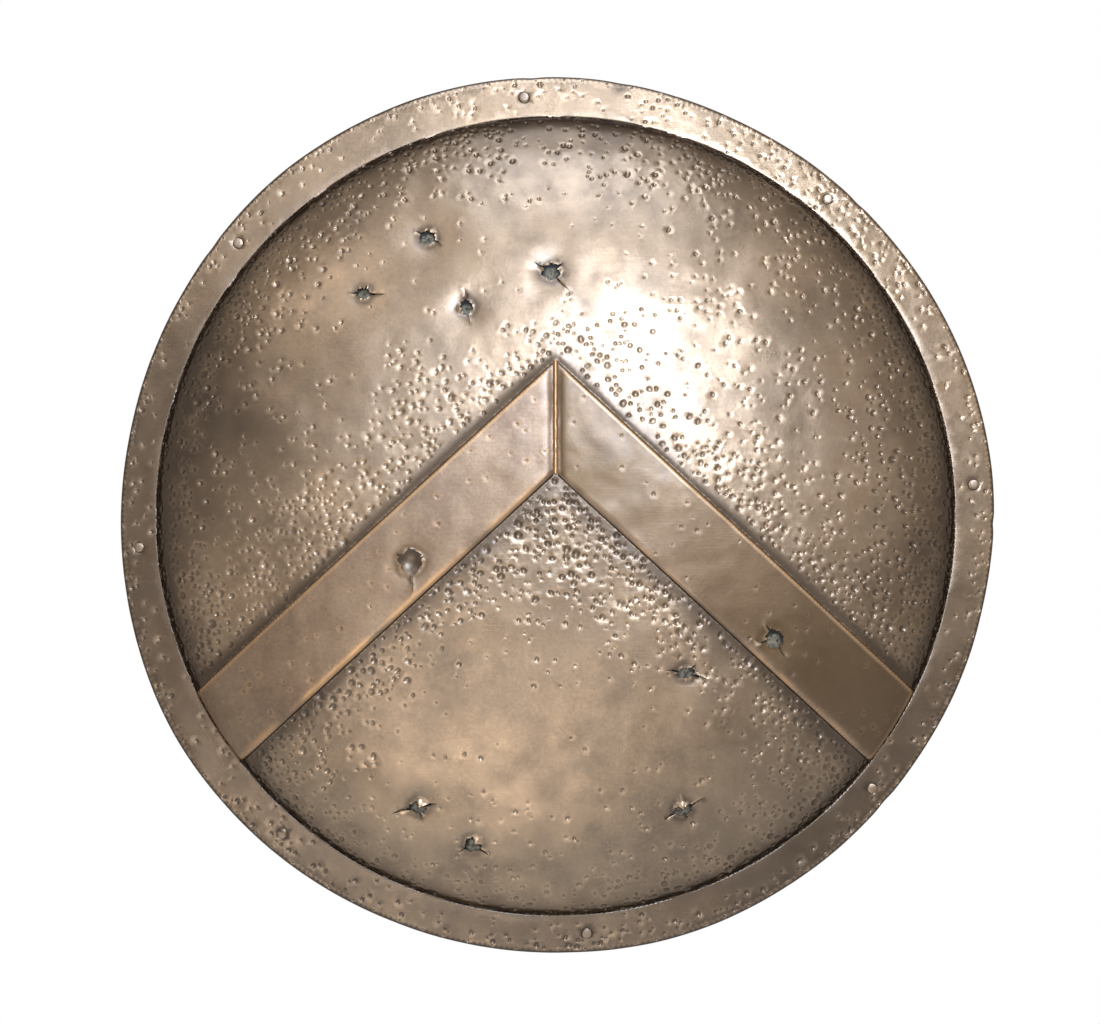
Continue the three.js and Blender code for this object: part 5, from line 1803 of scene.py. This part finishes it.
def wood_material():
    def paint(tree, shader, place):
        """Poplar, split, planed and oiled: long soft growth rings along each plank, fine pores and a dull
        sheen, darker where hands and damp have reached it."""
        c = colours()
        board = add_node(tree, "ShaderNodeAttribute", attribute_name="board").outputs["Fac"]
        grain = []
        for along, across, detail in ((0.45, 0.03, 4), (0.02, 0.0009, 3)):
            drawn_out = add_node(tree, "ShaderNodeMapping", {
                "Vector": place, "Scale": (1 / along, 1 / across, 1 / across)})
            grain.append(add_node(tree, "ShaderNodeTexNoise", {
                "Vector": drawn_out, "W": board, "Scale": 1.0, "Detail": detail}, noise_dimensions="4D"))
        sway, pores = grain
        rings = add_node(tree, "ShaderNodeMath", {0: sway, 1: 20.0}, operation="MULTIPLY")
        rings = add_node(tree, "ShaderNodeMath", {0: rings, 1: 0.5}, operation="PINGPONG")
        stain = add_node(tree, "ShaderNodeTexNoise", {"Vector": place, "Scale": 1 / 0.07, "Detail": 4})
        tone = toned(tree, c.wood[:], c.wood_dark[:], rings, 0.2, 0.5, 0.6)
        tone = toned(tree, tone, c.wood_dark[:], pores, 0.55, 0.75, 0.5)
        tone = toned(tree, tone, linear("#4f3822"), stain, 0.5, 0.75, 0.45)
        return tone, 0.62, (pores, 0.35, 0.3 * mm)
    return finished("oiled poplar", paint)


def tanned_leather(tree, shader, place, base, creased, sheen):
    """Oak-tanned cowhide, glued or sewn and long worn: a pebbled grain about a millimetre across with
    fine creases, darker seams and edges, and a soft greasy sheen where it is rubbed."""
    wear_and_painted_light = add_node(tree, "ShaderNodeAttribute", attribute_name="wear_and_painted_light").outputs["Fac"]
    cloud = add_node(tree, "ShaderNodeTexNoise", {
        "Vector": place, "Scale": 1 / 0.06, "Detail": 6, "Roughness": 0.65})
    bent = add_node(tree, "ShaderNodeTexNoise", {"Vector": place, "Scale": 1 / 0.004, "Detail": 2})
    shifted = add_node(tree, "ShaderNodeMix", {
        0: 0.0012, 4: place, 5: bent.outputs["Color"]}, data_type="VECTOR")
    pebbles = add_node(tree, "ShaderNodeTexVoronoi", {
        "Vector": shifted.outputs[1], "Scale": 1 / 0.0016}, feature="DISTANCE_TO_EDGE")
    grain = add_node(tree, "ShaderNodeMapRange", {"Value": pebbles.outputs["Distance"], "From Max": 0.22})
    folds = add_node(tree, "ShaderNodeTexNoise", {
        "Vector": place, "Scale": 1 / 0.011, "Detail": 5, "Roughness": 0.6})
    tone = toned(tree, base, creased, cloud, 0.42, 0.72, 0.75)
    tone = toned(tree, tone, creased, wear_and_painted_light, -0.1, -1.0, 0.85)
    tone = toned(tree, tone, creased, grain, 0.0, 1.0, 0.0, 0.4)
    rough = add_node(tree, "ShaderNodeMapRange", {
        "Value": folds, "From Min": 0.3, "From Max": 0.7, "To Min": sheen, "To Max": sheen + 0.18})
    height = add_node(tree, "ShaderNodeMath", {0: folds, 1: 2.0, 2: grain}, operation="MULTIPLY_ADD")
    return tone, rough, (height, 0.45, 0.3 * mm)


def leather_material():
    c = colours()
    return finished("oak-tanned lining leather", tanned_leather, c.leather[:], c.leather_dark[:], 0.5)


def strap_material():
    c = colours()
    return finished("greased strap leather", tanned_leather, c.strap[:], c.leather_dark[:], 0.42)


def thread_material():
    def paint(tree, shader, place):
        """Waxed linen thread: a pale, slightly grubby cord with a fine twist and a waxy sheen."""
        grub = add_node(tree, "ShaderNodeTexNoise", {"Vector": place, "Scale": 1 / 0.01, "Detail": 4})
        tone = add_node(tree, "ShaderNodeMix", {
            0: grub, 6: colours().thread[:], 7: linear("#7d6a48")}, data_type="RGBA").outputs[2]
        twist = add_node(tree, "ShaderNodeTexWave", {
            "Vector": place, "Scale": 1 / 0.004, "Distortion": 1.0}, bands_direction="DIAGONAL")
        return tone, 0.55, (twist.outputs["Fac"], 0.4, 0.1 * mm)
    return finished("waxed linen thread", paint)


def pitch_material():
    def paint(tree, shader, place):
        """Old pitch filled with ash, pressed in hot: a grey-green crust with dirt in it, that still shines
        where it is smooth, painted nearly black as shadow where it meets the torn metal."""
        crust = add_node(tree, "ShaderNodeTexNoise", {
            "Vector": place, "Scale": 1 / 0.0035, "Detail": 6, "Roughness": 0.7})
        wear_and_painted_light = add_node(tree, "ShaderNodeAttribute", attribute_name="wear_and_painted_light").outputs["Fac"]
        tone = toned(tree, colours().pitch[:], linear("#1d1b18"), crust, 0.4, 0.62)
        # Painted shadow toward the torn metal
        tone = toned(tree, tone, linear("#15120f"), wear_and_painted_light, -0.25, -0.9)
        shader.inputs["Specular IOR Level"].default_value = 0.1
        return tone, 0.42, (crust, 0.7, 0.6 * mm)
    return finished("ash-filled pitch", paint)


# The studio


def light_panel(name, turn_from, away, size, watts, colour):
    """A soft lamp aimed at the shield, by the direction to it in degrees right and up of the camera."""
    right, up = (math.radians(a) for a in turn_from)
    toward = Vector((math.sin(right) * math.cos(up), -math.cos(right) * math.cos(up), math.sin(up)))
    data = bpy.data.lights.new(name, "AREA")
    data.shape, data.energy, data.color = "RECTANGLE", watts, colour
    data.size, data.size_y = size
    lamp = linked(name, data)
    lamp.location = toward * away
    lamp.rotation_euler = toward.to_track_quat("Z", "Y").to_euler()
    lamp.visible_camera = False


# Lamps: name, degrees right and up of the camera, distance, width and height, watts, colour
DAYLIGHT, PLAIN = (0.8, 0.975, 1.26), (1.0, 1.0, 1.0)
LAMPS = (
    ("key", (6.5, 12.5), 3.9, (0.6, 1.1), 118, DAYLIGHT),
    ("top_fill", (3, 47), 3.3, (1.3, 1.6), 69, DAYLIGHT),
    ("high_fill", (3, 77), 3.3, (1.8, 1.1), 22, DAYLIGHT),
    ("left_key", (-10.5, 10), 3.6, (0.5, 0.8), 9, DAYLIGHT),
    ("upper_left", (-30, 26), 3.4, (0.8, 0.8), 9, PLAIN),
    ("left_fill", (-52, -22), 3.1, (0.8, 1.6), 5, PLAIN),
    ("right_fill", (42, 6), 3.1, (0.8, 1.6), 5, PLAIN),
    ("low_fill", (-8, -20), 3.5, (1.6, 1.0), 23, PLAIN),
    ("back_key", (150, 35), 3.2, (2.6, 2.6), 63, PLAIN),
    ("back_fill", (215, 10), 3.0, (2.2, 2.4), 36, PLAIN),
)
FLOOR_HEIGHT, FLOOR_RADIUS, FLOOR_SIDES = -1.25, 3.2, 96


class AspisStage(bpy.types.Operator):
    """Build the floor, the lamps, the white surroundings and the camera at the photograph's angle"""

    bl_idname = "aspis.stage"
    bl_label = "Stage and camera"

    def execute(self, context):
        scene = context.scene
        scene.view_settings.view_transform = "Standard"
        corners = [(x, y, FLOOR_HEIGHT) for x, y in ring(FLOOR_SIDES, FLOOR_RADIUS)]
        paper = smoothed(new_mesh("floor", corners, [range(FLOOR_SIDES)]), floor_material())
        floor = linked("floor", paper)
        world = bpy.data.worlds.new("studio")
        world.use_nodes = True
        tree = world.node_tree
        tree.nodes.clear()
        rays = add_node(tree, "ShaderNodeLightPath").outputs
        seen = rays["Is Camera Ray"]
        for kind in ("Is Glossy Ray", "Is Transmission Ray"):
            seen = add_node(tree, "ShaderNodeMath", {0: seen, 1: rays[kind]}, operation="MAXIMUM")
        room, white = (add_node(tree, "ShaderNodeBackground", {"Color": (1, 1, 1, 1), "Strength": strength})
                       for strength in (0.55, 1.0))
        mixed = add_node(tree, "ShaderNodeMixShader", {0: seen, 1: room, 2: white})
        add_node(tree, "ShaderNodeOutputWorld", {"Surface": mixed})
        scene.world = world
        for lamp in LAMPS:
            light_panel(*lamp)
        data = bpy.data.cameras.new("photograph")
        data.sensor_width = 36
        data.lens = data.sensor_width * CAMERA_DISTANCE / (PHOTO_SIZE[0] * PIXEL)
        camera = linked("photograph", data)
        right, up = PHOTO_SIZE[0] / 2 - PHOTO_MIDDLE[0], PHOTO_MIDDLE[1] - PHOTO_SIZE[1] / 2
        camera.location = (right * PIXEL, RIM_BACK - RIM_INNER_HEIGHT - CAMERA_DISTANCE, up * PIXEL)
        camera.rotation_euler = (math.pi / 2, 0, 0)
        scene.camera = camera
        return {"FINISHED"}


def floor_material():
    def paint(tree, shader, place):
        """Matt white studio paper, with the faint cloudiness of its fibres."""
        fibres = add_node(tree, "ShaderNodeTexNoise", {"Vector": place, "Scale": 3.0, "Detail": 4})
        tone = add_node(tree, "ShaderNodeMix", {
            0: fibres, 6: colours().floor[:], 7: linear("#e4e4e1")}, data_type="RGBA").outputs[2]
        # The paper thins out to nothing before its edge, so that no edge shows
        away = add_node(tree, "ShaderNodeVectorMath", {0: place}, operation="LENGTH").outputs["Value"]
        thin = add_node(tree, "ShaderNodeMapRange", {"Value": away, "From Min": 1.7, "From Max": 3.35})
        clear = add_node(tree, "ShaderNodeBsdfTransparent")
        mixed = add_node(tree, "ShaderNodeMixShader", {0: thin, 1: shader, 2: clear})
        tree.links.new(mixed.outputs[0], tree.nodes["Material Output"].inputs["Surface"])
        return tone, 0.85, None
    return finished("white studio paper", paint)


# Panel and registration

PIECE_OPERATORS = (
    AspisFace, AspisRim, AspisChevron, AspisRivets, AspisCore, AspisLining, AspisArmband,
    AspisFittings, AspisGrip)
CLASSES = (AspisFaceSettings, AspisColourSettings, AspisStage, *PIECE_OPERATORS)


class AspisPanel(bpy.types.Panel):
    """Settings of the shield and a button for each of its pieces"""

    bl_idname = "VIEW3D_PT_aspis"
    bl_label = "Hoplite aspis"
    bl_space_type = "VIEW_3D"
    bl_region_type = "UI"
    bl_category = "Aspis"

    def draw(self, context):
        for settings in (context.scene.aspis_face, context.scene.aspis_colours):
            box = self.layout.box()
            for name in settings.bl_rna.properties.keys():
                if name not in ("rna_type", "name"):
                    box.prop(settings, name)
        for operator in (AspisStage, *PIECE_OPERATORS):
            self.layout.operator(operator.bl_idname)


def register():
    for cls in (*CLASSES, AspisPanel):
        bpy.utils.register_class(cls)
    bpy.types.Scene.aspis_face = bpy.props.PointerProperty(type=AspisFaceSettings)
    bpy.types.Scene.aspis_colours = bpy.props.PointerProperty(type=AspisColourSettings)


def unregister():
    del bpy.types.Scene.aspis_face
    del bpy.types.Scene.aspis_colours
    for cls in (AspisPanel, *reversed(CLASSES)):
        bpy.utils.unregister_class(cls)


def main():
    register()
    for operator in (AspisStage, *PIECE_OPERATORS):
        group, name = operator.bl_idname.split(".")
        getattr(getattr(bpy.ops, group), name)()


if __name__ == "__main__":
    main()
